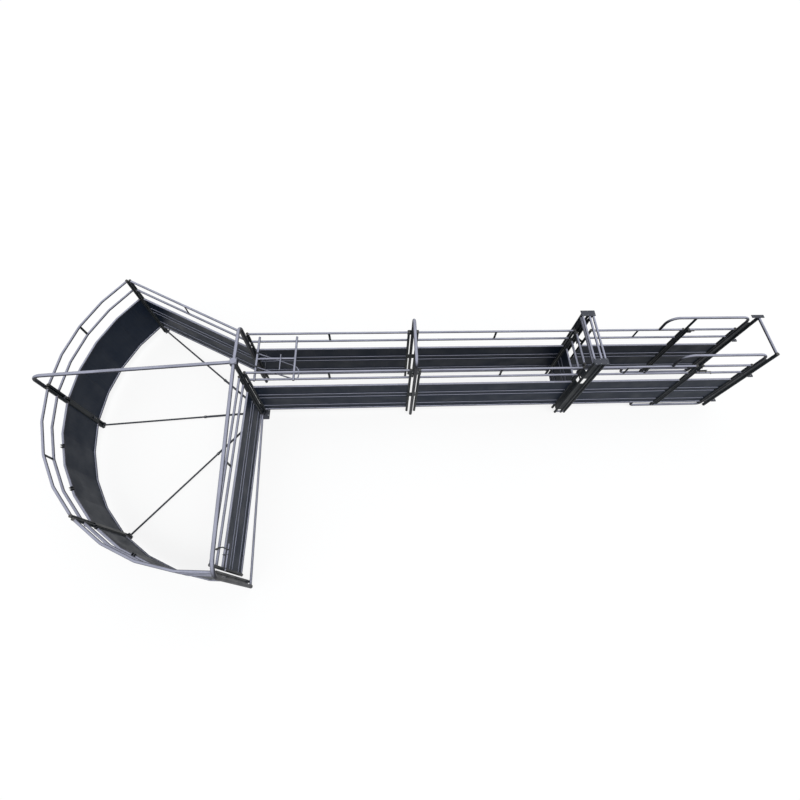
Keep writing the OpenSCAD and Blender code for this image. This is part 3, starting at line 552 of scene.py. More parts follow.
def bare_metal(name, base, rough, smear):
    """Metal without paint: a cool grey, brighter and glossier in the smears where it is
    rubbed, with `smear` of them to a metre."""
    material, node = blank(name)
    where = node("TexCoord", out="Object")
    spots = node("TexNoise", {"Vector": where, "Scale": smear, "Detail": 4.0})
    dark = [0.55 * c for c in base]
    shade = node("Mix", {"Factor": spots, "A": rgba(dark), "B": rgba(base)}, "Result",
                 data_type="RGBA")
    gloss = node("MapRange", {"Value": spots, "To Min": rough + 0.15, "To Max": rough - 0.1})
    shader = node("BsdfPrincipled", {"Base Color": shade, "Metallic": 1.0, "Roughness": gloss})
    node("OutputMaterial", {"Surface": shader})
    return material


def polyethylene(name, base):
    """Moulded black polyethylene: matt, with a faint leathery grain of about 3 mm and a
    bloom of dust."""
    material, node = blank(name)
    where = node("TexCoord", out="Object")
    grain = node("TexNoise", {"Vector": where, "Scale": 330.0, "Detail": 3.0})
    bloom = node("MapRange", {"Value": grain, "From Min": 0.4, "From Max": 0.8,
                              "To Min": 0.02, "To Max": 0.3})
    dust = bpy.context.scene.tub_colours.dust
    shade = node("Mix", {"Factor": bloom, "A": rgba(base), "B": rgba(dust)}, "Result",
                 data_type="RGBA")
    bump = node("Bump", {"Height": grain, "Strength": 0.2, "Distance": 0.001})
    shader = node("BsdfPrincipled", {"Base Color": shade, "Roughness": 0.62, "IOR": 1.51,
                                     "Normal": bump})
    node("OutputMaterial", {"Surface": shader})
    return material


def finish(key):
    """The finish of that name, made the first time it is asked for."""
    tints = bpy.context.scene.tub_colours
    make, name, *values = {
        "rail": (enamel, "baked_enamel_rails", (0.28, 0.92), 1.0, 0.42, 0.15, 0.0),
        "post": (enamel, "baked_enamel_posts", (0.3, 1.1), 0.16, 0.45, 0.12, 0.02),
        "sheet": (enamel, "baked_enamel_pressed_sheet", (0.4, 0.85), 0.8, 0.5, 0.12, 0.015),
        "weld": (enamel, "painted_weld_bead", (0.1, 1.0), 0.4, 0.6, 0.3, 0.0),
        "zinc": (bare_metal, "zinc_plated_steel", 0.42, 160.0),
        "steel": (bare_metal, "rubbed_bright_steel", 0.35, 60.0),
        "cap": (polyethylene, "black_polyethylene_plug")}[key]
    return bpy.data.materials.get(name) or make(name, getattr(tints, key), *values)


# Parts that panels and gates share

def rail(f, p, run, z):
    """Level rail between two posts, welded all round at both ends."""
    cope = p.post_r * 0.7
    f.bar((cope, 0, z), (run - cope, 0, z), p.rail_d, "rail")
    for x, a in ((0, 0), (run, 180)):
        f.bead(x, 0, z, a, p.post_r, p.rail_r, p.bead_r)


def spreader(f, p, x):
    """Flat bar between the second and the top rail, with a weld across each end."""
    z0, z1 = p.mid_z + p.rail_r, p.top_z - p.rail_r
    f.block((x - 20, -HALF_T, z0 - 2), (x + 20, HALF_T, z1 + 2), wear=0.5)
    for z in (z0, z1):
        for y in (-HALF_T - 0.5, HALF_T + 0.5):
            f.stitch((x, y, z), X, 17, FINE_WELD)


def rib_height(p, z, z0, z1):
    """Height of the pressed ribs above the sheet at height z: for each rib a trapezium
    with its corners rounded by a smooth step."""
    h = np.zeros_like(z)
    for share in p.ribs:
        d = np.abs(z - (z0 + share * (z1 - z0))) / p.rib_w
        s = np.clip((0.5 - d) / 0.2, 0, 1)
        h = np.maximum(h, p.rib_depth * s * s * (3 - 2 * s))
    return h


def sheet_levels(p, z0, z1):
    """Heights of the sheet's points: close together over the ribs' flanks and wide
    between them."""
    flank = np.array([.3, .34, .38, .42, .46, .5])
    over = p.rib_w * np.concatenate([-flank, [0], flank])
    zs = [z0 + share * (z1 - z0) + over for share in p.ribs]
    return np.unique(np.concatenate([np.linspace(z0 - BITE, z1 + BITE, 26), *zs]).round(1))


def pressed_sheet(p, place, run, foot_z, side, seed, name, body="structure"):
    """Sheet of two faces y(x, z) -+ t/2 and their edges. y is the rib height plus a
    slow wave of up to 1.4 mm that dies away at all four edges, as thin sheet has
    between its welds. It reaches 3 mm under the tubes that it is welded to."""
    f = Form(place)
    z0, z1 = foot_z + p.rail_r, p.sheet_z - p.rail_r
    x0, x1 = p.post_r - BITE, run - p.post_r + BITE
    z = sheet_levels(p, z0, z1)
    near_end = np.array([8, 16, 26, 40])
    x = np.unique(np.concatenate([np.linspace(x0, x1, max(12, int(run / 60))),
                                  x0 + near_end, x1 - near_end]))
    x, z = np.meshgrid(x, z, indexing="ij")
    u, v = (x - x0) / (x1 - x0), (z - z[0, 0]) / (z[0, -1] - z[0, 0])
    wave = (np.sin(5.1 * u * (1 + run / 1500) + seed) * np.sin(4.3 * v + seed * 2)
            + 0.6 * np.sin(9.7 * u * (1 + run / 2500) - seed) * np.cos(7.1 * v + seed))
    wave *= 0.9 * (np.sin(pi * u) * np.sin(pi * v)) ** 0.5
    y = side * (rib_height(p, z, z0, z1) + wave)
    front, rear = (np.stack([x, y + t, z], -1) for t in (p.sheet_t / 2, -p.sheet_t / 2))
    wear = edge_wear(u, v, run, z1 - z0)
    f.patch(np.concatenate([front, rear[:, ::-1]], 1), "sheet",
            np.concatenate([wear, wear[:, ::-1]], 1))
    # Stitch welds, 32 mm long, along the tubes on the side away from the ribs
    y = -side * 3.5
    for x in np.arange(x0 + 60, x1 - 60, 235):
        for z in (z0, z1):
            f.stitch((x, y, z), X, 16, FINE_WELD)
    for x in (x0 + BITE, x1 - BITE):
        for z in np.arange(z0 + 90, z1 - 60, 240):
            f.stitch((x, y, z), Z, 16, FINE_WELD)
    f.build(name + "_plate", name.lower() + "_sheet", "sheet_paint", body)


def panel(p, place, run, zs, feet, spreaders, side, seed, name, body="structure", more=None):
    """Panel or gate: one piece is its two posts, the rails between them at the heights zs,
    the flat spreaders and what `more` welds on, and the other is its pressed sheet."""
    f = Form(place)
    for x, foot in zip((0, run), feet):
        f.post(x, 0, foot, p.post_top, p.post_d)
    for z in zs:
        rail(f, p, run, z)
    for x in spreaders:
        spreader(f, p, x)
    if more:
        more(f)
    f.build(name + "_rails", name.lower() + "_frame", "tube_paint", body)
    pressed_sheet(p, place, run, zs[0], side, seed, name, body)


def upright_plate(f, p0, p1, r0, r1, z0, z1):
    """Flat plate on edge between two round posts of radius r0 and r1, welded to both."""
    d = np.array(p1, float) - p0
    keep = f.place
    f.place = keep @ shift(*p0) @ turn(heading(d))
    x0, x1 = r0, float(np.hypot(*d)) - r1
    f.block((x0 - BITE, -HALF_T, z0), (x1 + BITE, HALF_T, z1), wear=0.5)
    for x in (x0, x1):
        for y in (-HALF_T - 0.5, HALF_T + 0.5):
            for z in np.linspace(z0 + 24, z1 - 24, max(1, int((z1 - z0) / 160))):
                f.stitch((x, y, z), Z, 22)
    f.place = keep


def hinge_ring(f, p, z, reach):
    """Ring that turns on an upright, with its arm welded to the post beside it."""
    high, end = 40, reach - p.post_r
    f.collar((0, 0, z), Z, p.post_d + 1, 68, high)
    f.block((30, -6, z), (end + BITE, 6, z + high), wear=0.6)
    for y in (-6.5, 6.5):
        for x in (33, end):
            f.stitch((x, y, z + high / 2), Z, 16)


def sliding_bolt(p, place, name, node, body):
    """Round bolt with a chamfered nose, and a handle that ends in a knob, which is the
    profile (r sin v, -r cos v) cut flat close to its poles."""
    f = Form(place)
    tip, knob = 40, 11
    x0, y0, z = tip - p.bolt_len, p.bolt_off, p.bolt_z
    f.bar((x0, y0, z), (tip, y0, z), p.bolt_d, "steel", chamfer=2.5)
    x0, y0 = x0 + 20, y0 + p.bolt_d / 2
    f.bar((x0, y0 - 3, z), (x0, y0 + 34, z), 11, "steel", n=14)
    v = np.linspace(0.12, pi - 0.12, 8)
    profile = np.stack([knob * np.sin(v), -knob * np.cos(v)], 1)
    f.lathe((x0, y0 + 34, z), Y, profile, "cap", n=16)
    f.build(name, node, body=body)


def bolt_guides(f, p):
    """Back plate on the post and two plates with a bore for the bolt."""
    z, y0 = p.bolt_z, p.post_r + 5
    f.block((-150, p.post_r - 1, z - 25), (20, p.post_r + 6, z + 25))
    for x in (-130, 0):
        x0, x1 = x - HALF_T, x + HALF_T
        f.collar((x0, p.bolt_off, z), X, p.bolt_d + 1, 28, 2 * HALF_T)
        f.block((x0, y0, z - 16), (x1, p.bolt_off - p.bolt_d / 2 - 1, z + 16))
        for h in (z - 12.5, z + 12.5):
            f.block((x0, y0 + 8, h - 3.5), (x1, p.bolt_off + 14, h + 3.5))


def tube_only(path, d, name, node, place=np.eye(4)):
    """A bow or loop that is one tube."""
    f = Form(place)
    f.tube(stations(path, 400)[0], d, "rail", n=28)
    f.build(name, node, "tube_paint")


# Operators

class Piece(bpy.types.Operator):
    """Base of the operators that make pieces."""
    bl_options = {"REGISTER", "UNDO"}

    def execute(self, context):
        self.make(plan())
        return {"FINISHED"}


class TUB_OT_pivot(Piece):
    """Makes the base plate, the pivot post with its set ring and the head box"""
    bl_idname = "sweep_tub.pivot"
    bl_label = "Pivot post"

    def make(self, p):
        top = p.bow_z - p.head_h / 2
        self.base(Form(), p)
        self.post(Form(), p, top)
        self.head(Form(), p, top)

    def base(self, f, p):
        """Square plate with four anchors, each a washer and nut on a threaded end."""
        half, foot = 140, p.base_t
        f.block((-half, -half, 0), (half, half, foot), chamfer=4, wear=0.6)
        for x in (-110, 110):
            for y in (-50, 50):
                f.screw((x, y, foot), Z, 24)
                f.bar((x, y, foot), (x, y, foot + 24), 15, "zinc", n=12, chamfer=1.5)
        f.build("Pivot_base_plate", "pivot_base")

    def post(self, f, p, top):
        """Tube with the floor braces' hub at its foot, and the set ring half a millimetre
        under the sweep gate's lower collar."""
        foot, set_d, set_h = p.base_t, 100, 14
        z = np.array([foot, foot + 20, 200, 500, 1000, 1500, top - 20, top])
        f.lathe((0, 0, 0), Z, np.stack([np.full(8, p.pivot_d / 2), z], 1), "post", n=36,
                wear=0.8 * np.exp(-(z - foot) / 120) + 0.1)
        set_z = p.collar_zs[0] - (set_h + 0.5)
        f.collar((0, 0, foot), Z, p.pivot_d - 1, 2 * p.hub_r, p.hub_h)
        f.collar((0, 0, set_z), Z, p.pivot_d - 1, set_d, set_h)
        f.screw((set_d / 2, 0, set_z + set_h / 2), X, 10)
        f.build("Pivot_post_tube", "pivot_post")

    def head(self, f, p, top):
        """Box on top of the post, and its lid with four screws."""
        half, lid_z = p.head_w / 2, p.bow_z + p.head_h / 2 - 9
        f.block((-half, -half, top), (half, half, lid_z - 6), chamfer=9, wear=0.4, skin="rail")
        lid = half - 6
        f.block((-lid, -lid, lid_z - 7), (lid, lid, lid_z), chamfer=5, skin="rail")
        for x, y in ((42, 42), (-42, 42), (-42, -42), (42, -42)):
            f.screw((x, y, lid_z), Z, 13)
        f.build("Pivot_head_box", "pivot_head")


class TUB_OT_overhead_bows(Piece):
    """Makes the three bows that meet over the pivot post"""
    bl_idname = "sweep_tub.overhead_bows"
    bl_label = "Overhead bows"

    def make(self, p):
        """Each is a post, one wide bend and the overhead tube that ends at the head box."""
        end = p.head_w * 0.42
        for name, a, r, bend in (("Rim_overhead_bow", p.rim_bow_a, p.rim_bow_r, 150),
                                 ("Entry_overhead_bow", p.entry_a, p.entry_bow_r, 270),
                                 ("Alley_entrance_bow", heading(p.entrance),
                                  hypot(*p.entrance), 150)):
            tube_only(bent([(r, 0, 0), (r, 0, p.bow_z), (end, 0, p.bow_z)], bend, steps=14),
                      p.bow_d, name + "_tube", name.lower(), turn(a))


class TUB_OT_rim_panels(Piece):
    """Makes the three curved rim panels, frame and sheet"""
    bl_idname = "sweep_tub.rim_panels"
    bl_label = "Rim panels"

    def make(self, p):
        for k in range(3):
            corners = [p.tub_r * along(rim_corner(p, k, j)) for j in range(p.chords + 1)]
            self.frame(p, k, corners)
            self.sheet(p, k, corners)

    def frame(self, p, k, corners):
        """Each rail is one tube bent a little at every corner, radius 260 mm."""
        f = Form()
        ends = (corners[0], corners[1]), (corners[-1], corners[-2])
        for q, _ in ends:
            f.post(*q, 0, p.post_top, p.post_d)
        for z in p.rail_zs:
            path = np.array([(*q, z) for q in corners])
            path[0] += 17 * unit(path[1] - path[0])
            path[-1] += 17 * unit(path[-2] - path[-1])
            rounded, s = stations(bent(path, radius=260, steps=7), 260)
            f.tube(rounded, p.rail_d, "rail", wear=end_wear(s))
            for q, inner in ends:
                f.bead(*q, z, heading(inner - q), p.post_r, p.rail_r, p.bead_r)
        middle = rim_corner(p, k, p.chords // 2)
        f.at(shift(*(p.tub_r * along(middle))), turn(middle + 90))
        spreader(f, p, 0)
        f.build(f"Rim_panel_{k + 1}_rails", f"rim_panel_{k + 1}_frame", "tube_paint")

    def sheet(self, p, k, corners):
        """Plain sheet bent at the corners. The strip follows the rail's line, and its
        faces stand t/2 to either side, with a slow wave of 1 mm between the welds."""
        f = Form()
        z0, z1 = p.bottom_z + p.rail_r, p.sheet_z - p.rail_r
        path, full = stations(bent(corners, radius=120, steps=7), 90)
        cut = p.post_r - BITE
        s = np.unique(np.clip(full, cut, full[-1] - cut))
        path = resampled(path, full, s)
        t = unit(np.gradient(path, axis=0))
        n = np.stack([-t[:, 1], t[:, 0]], 1)
        z = np.linspace(z0 - BITE, z1 + BITE, 15)[None]
        u, v = ((s - s[0]) / (s[-1] - s[0]))[:, None], (z - z[0, 0]) / (z[0, -1] - z[0, 0])
        wave = 1.1 * np.sin(23 * u + k) * np.sin(3.4 * v + 2 * k) \
            * (np.sin(pi * u) * np.sin(pi * v)) ** 0.5
        faces = []
        for side in (1, -1):
            xy = path[:, None] + (wave + side * p.sheet_t / 2)[..., None] * n[:, None]
            up = np.broadcast_to(z[..., None], (*wave.shape, 1))
            faces.append(np.concatenate([xy, up], -1)[:, ::side])
        wear = edge_wear(u, v, s[-1], z1 - z0)
        f.patch(np.concatenate(faces, 1), "sheet", np.concatenate([wear, wear[:, ::-1]], 1))
        for i in range(3, len(path) - 3, 3):
            for z in (z0, z1):
                f.stitch((*(path[i] - 3.5 * n[i]), z), (*t[i], 0), 16, FINE_WELD)
        f.build(f"Rim_panel_{k + 1}_plate", f"rim_panel_{k + 1}_sheet", "sheet_paint")


class TUB_OT_lead_panel(Piece):
    """Makes the straight panel between the rim and the alley"""
    bl_idname = "sweep_tub.lead_panel"
    bl_label = "Lead panel"

    def make(self, p):
        panel(p, shift(*p.lead_post) @ turn(p.lead_a), p.lead_len, p.rail_zs, (0, 0),
              [p.lead_len / 2], -1, 1.3, "Lead_panel")


class TUB_OT_rim_joints(Piece):
    """Makes the lugs and drop pins of the rim joints and the links to the alley"""
    bl_idname = "sweep_tub.rim_joints"
    bl_label = "Rim joints"

    def make(self, p):
        first, last = ([p.tub_r * along(rim_corner(p, k, j)) for k in range(3)]
                       for j in (0, p.chords))
        lugs, pins = Form(), Form()
        self.joints(lugs, pins, p, first, last)
        self.strips(lugs, p)
        lugs.build("Panel_joint_lug_plates", "panel_joint_lugs")
        pins.build("Panel_drop_pins", "drop_pins")
        self.links(Form(), p, last[2])

    def joints(self, lugs, pins, p, first, last):
        """At each joint two pairs of lugs, one lug over the other, and the pin through
        both, 45 mm to one side of the posts' line."""
        for a, b, side in ((p.lead_post, first[0], 1), (last[0], first[1], -1),
                           (last[1], first[2], 1)):
            v = b - a
            pin = (a + b) / 2 + side * 45 * np.array([v[1], -v[0]]) / np.hypot(*v)
            for z in p.link_zs:
                for q, low in ((a, z - 8.1), (b, z + 0.1)):
                    lugs.at(shift(*q, low), turn(heading(pin - q)))
                    self.lug(lugs, p, float(np.hypot(*(pin - q))))
                self.pin(pins.at(shift(*pin, z)))

    def strips(self, f, p):
        """Strips that close the gaps of the second and third joint from inside the tub."""
        low, high, pin, half = p.bottom_z + 25, p.sheet_z - 25, p.link_zs[0], 40
        x = p.joint_r - p.post_r
        for k, z0, z1 in ((1, low, pin - 20), (1, pin + 20, high), (2, low, high)):
            f.at(turn(p.rim_start + k * p.rim_step))
            f.block((x - 4.2, -half, z0), (x + 1, half, z1), chamfer=1)
            for z in np.linspace(z0 + 30, z1 - 30, max(2, int((z1 - z0) / 200))):
                for y in (-half, half):
                    f.stitch((x, y, z), Z, 20)

    def links(self, f, p, rim_end):
        """Plates on edge that tie the pivot and the lead panel to the alley, and the rim's
        end and the far panel to their bows."""
        far, entry = (p.far_x, p.alley_w), p.entry_bow_r * along(p.entry_a)
        for z in p.link_zs:
            upright_plate(f, (0, 0), (p.alley_x, 0), p.pivot_d / 2, p.post_r, z - 30, z + 30)
            upright_plate(f, p.lead_end, far, p.post_r, p.post_r, z - 30, z + 30)
        for z0, z1 in p.low_webs:
            upright_plate(f, rim_end, entry, p.post_r, p.bow_r, z0, z1)
            upright_plate(f, far, p.entrance, p.post_r, p.bow_r, z0, z1)
        f.build("Tub_link_plates", "tub_links")

    def lug(self, f, p, reach):
        """Plate with a half-round end: the outline runs up both sides and round the pin."""
        u = np.linspace(-pi / 2, pi / 2, 15)
        x, half = p.post_r - 5, 18
        nose = np.stack([reach + half * np.cos(u), half * np.sin(u)], 1)
        f.plate(np.concatenate([[(x, -half)], nose, [(x, half)]]), 0, 8, wear=0.6)
        for y in (-12, 12):
            f.stitch((x + 4, y, 8), Y, 5, FINE_WELD)

    def pin(self, f):
        """Pointed pin with a round head and a pull ring, half a circle on its head."""
        f.lathe((0, 0, 0), Z, [(3, -45), (7, -38), (8, -34), (8, 8)], "steel", n=18)
        f.lathe((0, 0, 8.2), Z, [(9, 0), (13, 0), (14, 1), (14, 6.5), (12, 8)], "post", n=22)
        u = np.linspace(0, pi, 15)
        f.tube(np.stack([16 * np.cos(u), 0 * u, 14 + 20 * np.sin(u)], 1), 5, "zinc", n=10)


class TUB_OT_floor_braces(Piece):
    """Makes the three floor braces and the threshold under the entry"""
    bl_idname = "sweep_tub.floor_braces"
    bl_label = "Floor braces"

    def make(self, p):
        z, r0, sleeve = p.brace_z, p.hub_r - 1, 1168
        for k in range(3):
            a = p.rim_start + k * p.rim_step
            seat = float(p.lead_post @ along(a)) if k == 0 else p.joint_r
            r1 = seat - p.post_r - 12.2
            f = Form(turn(a))
            f.bar((r0, 0, z), (sleeve, 0, z), p.rail_d, "post", n=22)
            f.bar((sleeve - 8, 0, z), (r1 + 1, 0, z), p.brace_d, "post", n=22)
            f.block((r1, -50, 12), (r1 + 12, 50, 68), chamfer=3, wear=0.7)
            f.collar((sleeve - 40, 0, z), X, p.rail_d - 0.5, p.rail_d + 12, 39)
            f.screw((sleeve - 21, 0, z + p.rail_r + 5), Z, 17)
            for side in (-1, 1):
                f.stitch((r1 - 2, side * 17, z), Z, 10)
                f.screw((r1, side * 36, z), -X, 17)
            f.build(f"Floor_brace_{k + 1}_tubes", f"floor_brace_{k + 1}", "tube_paint")
        f = Form(turn(p.entry_a))
        f.bar((r0, 0, z), (p.entry_bow_r - p.bow_r + 3, 0, z), p.rail_d, "rail", n=22)
        f.bead(p.entry_bow_r, 0, z, 180, p.bow_r, p.rail_r, p.bead_r)
        f.build("Entry_threshold_tube", "entry_threshold", "tube_paint")


class TUB_OT_sweep_gate(Piece):
    """Makes the sweep gate, its collars, its latch bolt and the catches on the rim"""
    bl_idname = "sweep_tub.sweep_gate"
    bl_label = "Sweep gate"

    def make(self, p):
        home, run = turn(p.sweep_a), p.sweep_out - p.sweep_in
        panel(p, home @ shift(p.sweep_in), run, p.sweep_zs, (120, 120), [run / 2], -1, 2.2,
              "Sweep_gate", "sweep_gate", lambda f: self.guides(f.at(shift(-p.sweep_in)), p))
        self.collars(Form(home), p)
        self.latch(Form(home), p)
        self.catches(Form(), p)

    def collars(self, f, p):
        """Two rings round the pivot post, each with its arm and a grease nipple."""
        x, high = p.sweep_in - p.post_r, 60
        for z in p.collar_zs:
            f.collar((0, 0, z), Z, p.pivot_d + 1, 100, high)
            f.block((45, -8, z), (x + BITE, 8, z + high), chamfer=2, wear=0.6)
            for y in (-9, 9):
                f.stitch((x, y, z + high / 2), Z, 25, 3.4)
            f.lathe((-50, 0, z + high / 2), -X, [(5, -2), (5, 5), (3, 6), (3, 11), (2, 12)],
                    "zinc", n=12)
        f.build("Sweep_gate_collar_rings", "sweep_gate_collars", body="sweep_gate")

    def guides(self, f, p):
        """Two bored plates with a flange above and below, on the post and on the rail."""
        z, y = p.latch_z, p.latch_off
        for r, y0, z0 in ((p.sweep_out, p.post_r - 2, z - 20),
                          (p.sweep_out - 190, -10, p.sheet_z + p.rail_r - 2)):
            x0, x1 = r - HALF_T, r + HALF_T
            f.collar((x0, y, z), X, p.latch_d + 1, 39, 2 * HALF_T)
            f.block((x0, y0, z0), (x1, y - 14, z + 20))
            f.block((x0, y - 16, z + 14), (x1, y + 20, z + 20))
            f.block((x0, y - 16, z - 20), (x1, y + 20, z - 14))

    def latch(self, f, p):
        """The tube, and the lever that comes up beside the rails and turns over the
        second one to a grip."""
        z, y, r1 = p.latch_z, p.latch_off, p.sweep_out + 35
        f.bar((r1 - p.latch_len, y, z), (r1, y, z), p.latch_d, "rail", n=24, chamfer=3)
        x, top = r1 - p.latch_len + 90, p.mid_z + 58
        corner, reach = np.array([x, y, top]), np.array([26, -12 - y, 0])
        f.tube(bent([(x, y, z + 8), corner, corner + reach], radius=30), 18, "post", n=18)
        f.bar(corner + reach * 0.45, corner + reach * 1.22, 30, "cap", chamfer=5)
        f.collar((x, y, z + p.latch_d / 2 - 2), Z, 14, 25, 6)
        f.build("Sweep_latch_bolt_bar", "sweep_latch_bolt", body="sweep_bolt")

    def catches(self, f, p):
        """Pairs of plates on the rim's sheet rail, at whose distance the latch passes."""
        for a in p.catch_as:
            b = a + degrees(asin(p.latch_off / p.tub_r))
            k = floor((b - p.rim_start) / p.rim_step)
            j = floor((b - rim_corner(p, k, 0)) / p.chord_a)
            middle = rim_corner(p, k, j) + p.chord_a / 2
            r = p.tub_r * cos(radians(p.chord_a / 2)) / cos(radians(b - middle))
            f.at(turn(a))
            x0, x1, z0 = r - p.rail_r - 20, r + p.rail_d * 0.3, p.sheet_z + p.rail_r
            for side in (-1, 1):
                y = p.latch_off + side * (p.latch_d / 2 + 7)
                f.block((x0, y - HALF_T, z0), (x1, y + HALF_T, z0 + 60.2),
                        chamfer=1.5, wear=0.8)
                f.stitch((r, y + side * 5, z0 - 3), X, 14)
        f.build("Latch_catch_plates", "latch_catches")


class TUB_OT_alley_panels(Piece):
    """Makes the six straight panels of the working alley"""
    bl_idname = "sweep_tub.alley_panels"
    bl_label = "Alley panels"

    def make(self, p):
        rows = [(p.p2_x, p.p2, 0, 0, [p.p2 / 2]),
                (p.p3_x, p.p3, 0, p.sill_z + p.post_r, [p.p3 * 0.295, p.p3 * 0.516])]
        first = {"Near": (p.alley_x, p.p1, p.base_t + p.hub_h, 0, [p.p1 / 2]),
                 "Far": (p.far_x, p.far1, 0, 0, [p.far1 / 2])}
        for side, mirror in sides(p):
            for k, (x, run, foot, last, bars) in enumerate((first[side], *rows), 1):
                if side == "Far":
                    bars = bars[-1:]
                panel(p, mirror @ shift(x), run, p.rail_zs, (foot, last), bars, 1,
                      k + 0.4 * (side == "Far"), f"{side}_panel_{k}")


class TUB_OT_mid_bow(Piece):
    """Makes the bow over the middle of the alley and the plates that hold the panels"""
    bl_idname = "sweep_tub.mid_bow"
    bl_label = "Middle bow"

    def make(self, p):
        x, y0, y1 = p.mid_bow_x, -p.bow_off, p.alley_w + p.bow_off
        tube_only(bent([(x, y0, 0), (x, y0, p.bow_z), (x, y1, p.bow_z), (x, y1, 0)],
                       radius=150, steps=14), p.bow_d, "Middle_bow_tube", "mid_bow")
        f, y, half, high = Form(), -p.post_r, p.back + 25, 75
        for _, mirror in sides(p):
            f.at(mirror)
            for z in p.bow_link_zs:
                f.block((x - half, y - 8.2, z - high), (x + half, y + 1, z + high), chamfer=2)
                f.block((x - HALF_T, y0 + p.bow_r - 2, z - high),
                        (x + HALF_T, y - 7, z + high))
                for u in (-1, 1):
                    for h in (z - 48, z + 48):
                        f.screw((x + u * 46, y - 8.2, h), -Y, 19)
                    f.stitch((x + u * 5, y - 8.2, z), Z, 60)
            for z0, z1 in p.low_webs:
                upright_plate(f, (p.p2_end, 0), (p.hoops[0], -p.portal_off),
                              p.post_r, p.post_r, z0, z1)
            for z in p.link_zs:
                upright_plate(f, (p.p3_x, 0), (p.hoops[2], -p.portal_off),
                              p.post_r, p.post_r, z - 30, z + 30)
        f.build("Alley_link_plates", "alley_links")


class TUB_OT_backstop(Piece):
    """Makes the crossbars, the cradle and the hinged flap of the backstop"""
    bl_idname = "sweep_tub.backstop"
    bl_label = "Backstop"

    def make(self, p):
        self.crossbars(Form(), p)
        self.cradle(Form(), p)
        self.flap(p)

    def crossbars(self, f, p):
        """Two bars across the second rails, a tie between them and the rod that lies on it."""
        z, w, (x0, x1) = p.cross_z, p.alley_w, p.cross_x
        for x in (x0, x1):
            f.bar((x, -50, z), (x, w + 70, z), p.rail_d, "rail", n=22, chamfer=1.5)
            for y in (0, w):
                f.stitch((x, y, z - p.rail_r), X, 16, 4)
        f.bar((x0 + 8, w / 2, z), (x1 - 8, w / 2, z), p.brace_d - 3, "rail", n=22)
        rod_x, rod_z = x0 + 430, z + p.brace_d / 2 - 1.5 + 10
        f.bar((rod_x, w * 0.19, rod_z), (rod_x, w * 0.6, rod_z), 20, "rail", n=18, chamfer=1.5)
        f.build("Backstop_crossbars", "backstop_bars", "tube_paint")

    def cradle(self, f, p):
        """Two arms and the cross rod that the flap's legs rest on, 190 mm down their slope."""
        a, x, z, (y0, y1) = radians(p.flap_slope), p.cross_x[0], p.cross_z, p.flap_ys
        down, under = 190, p.flap_d / 2 + 8.3
        v = np.array([down * cos(a) - under * sin(a), 0, -down * sin(a) - under * cos(a)])
        for y in (y0 - 60, y1 + 60):
            f.at(axes((x, y, z), v, Y))
            f.block((p.rail_r - 1, -HALF_T, -12), (float(np.linalg.norm(v)) - 6, HALF_T, 12),
                    wear=0.6)
        f.at(shift(x + v[0], 0, z + v[2]))
        f.bar((0, y0 - 70, 0), (0, y1 + 70, 0), 16, "post", n=18, chamfer=1.5)
        f.build("Backstop_cradle_arms", "backstop_cradle")

    def flap(self, p):
        """One bent tube whose two legs start at the rings on the first crossbar."""
        a, (y0, y1) = radians(p.flap_slope), p.flap_ys
        f = Form(axes((p.cross_x[0], 0, p.cross_z), (cos(a), 0, -sin(a)), Y))
        f.tube(bent([(25, y0, 0), (p.flap_len, y0, 0), (p.flap_len, y1, 0), (25, y1, 0)],
                    radius=110, steps=12), p.flap_d, "rail", n=22)
        for y in (y0, y1):
            f.collar((0, y - 20, 0), Y, p.rail_d + 1, p.rail_d + 12, 40)
        f.build("Backstop_flap_loop", "backstop_flap", "tube_paint", "flap")


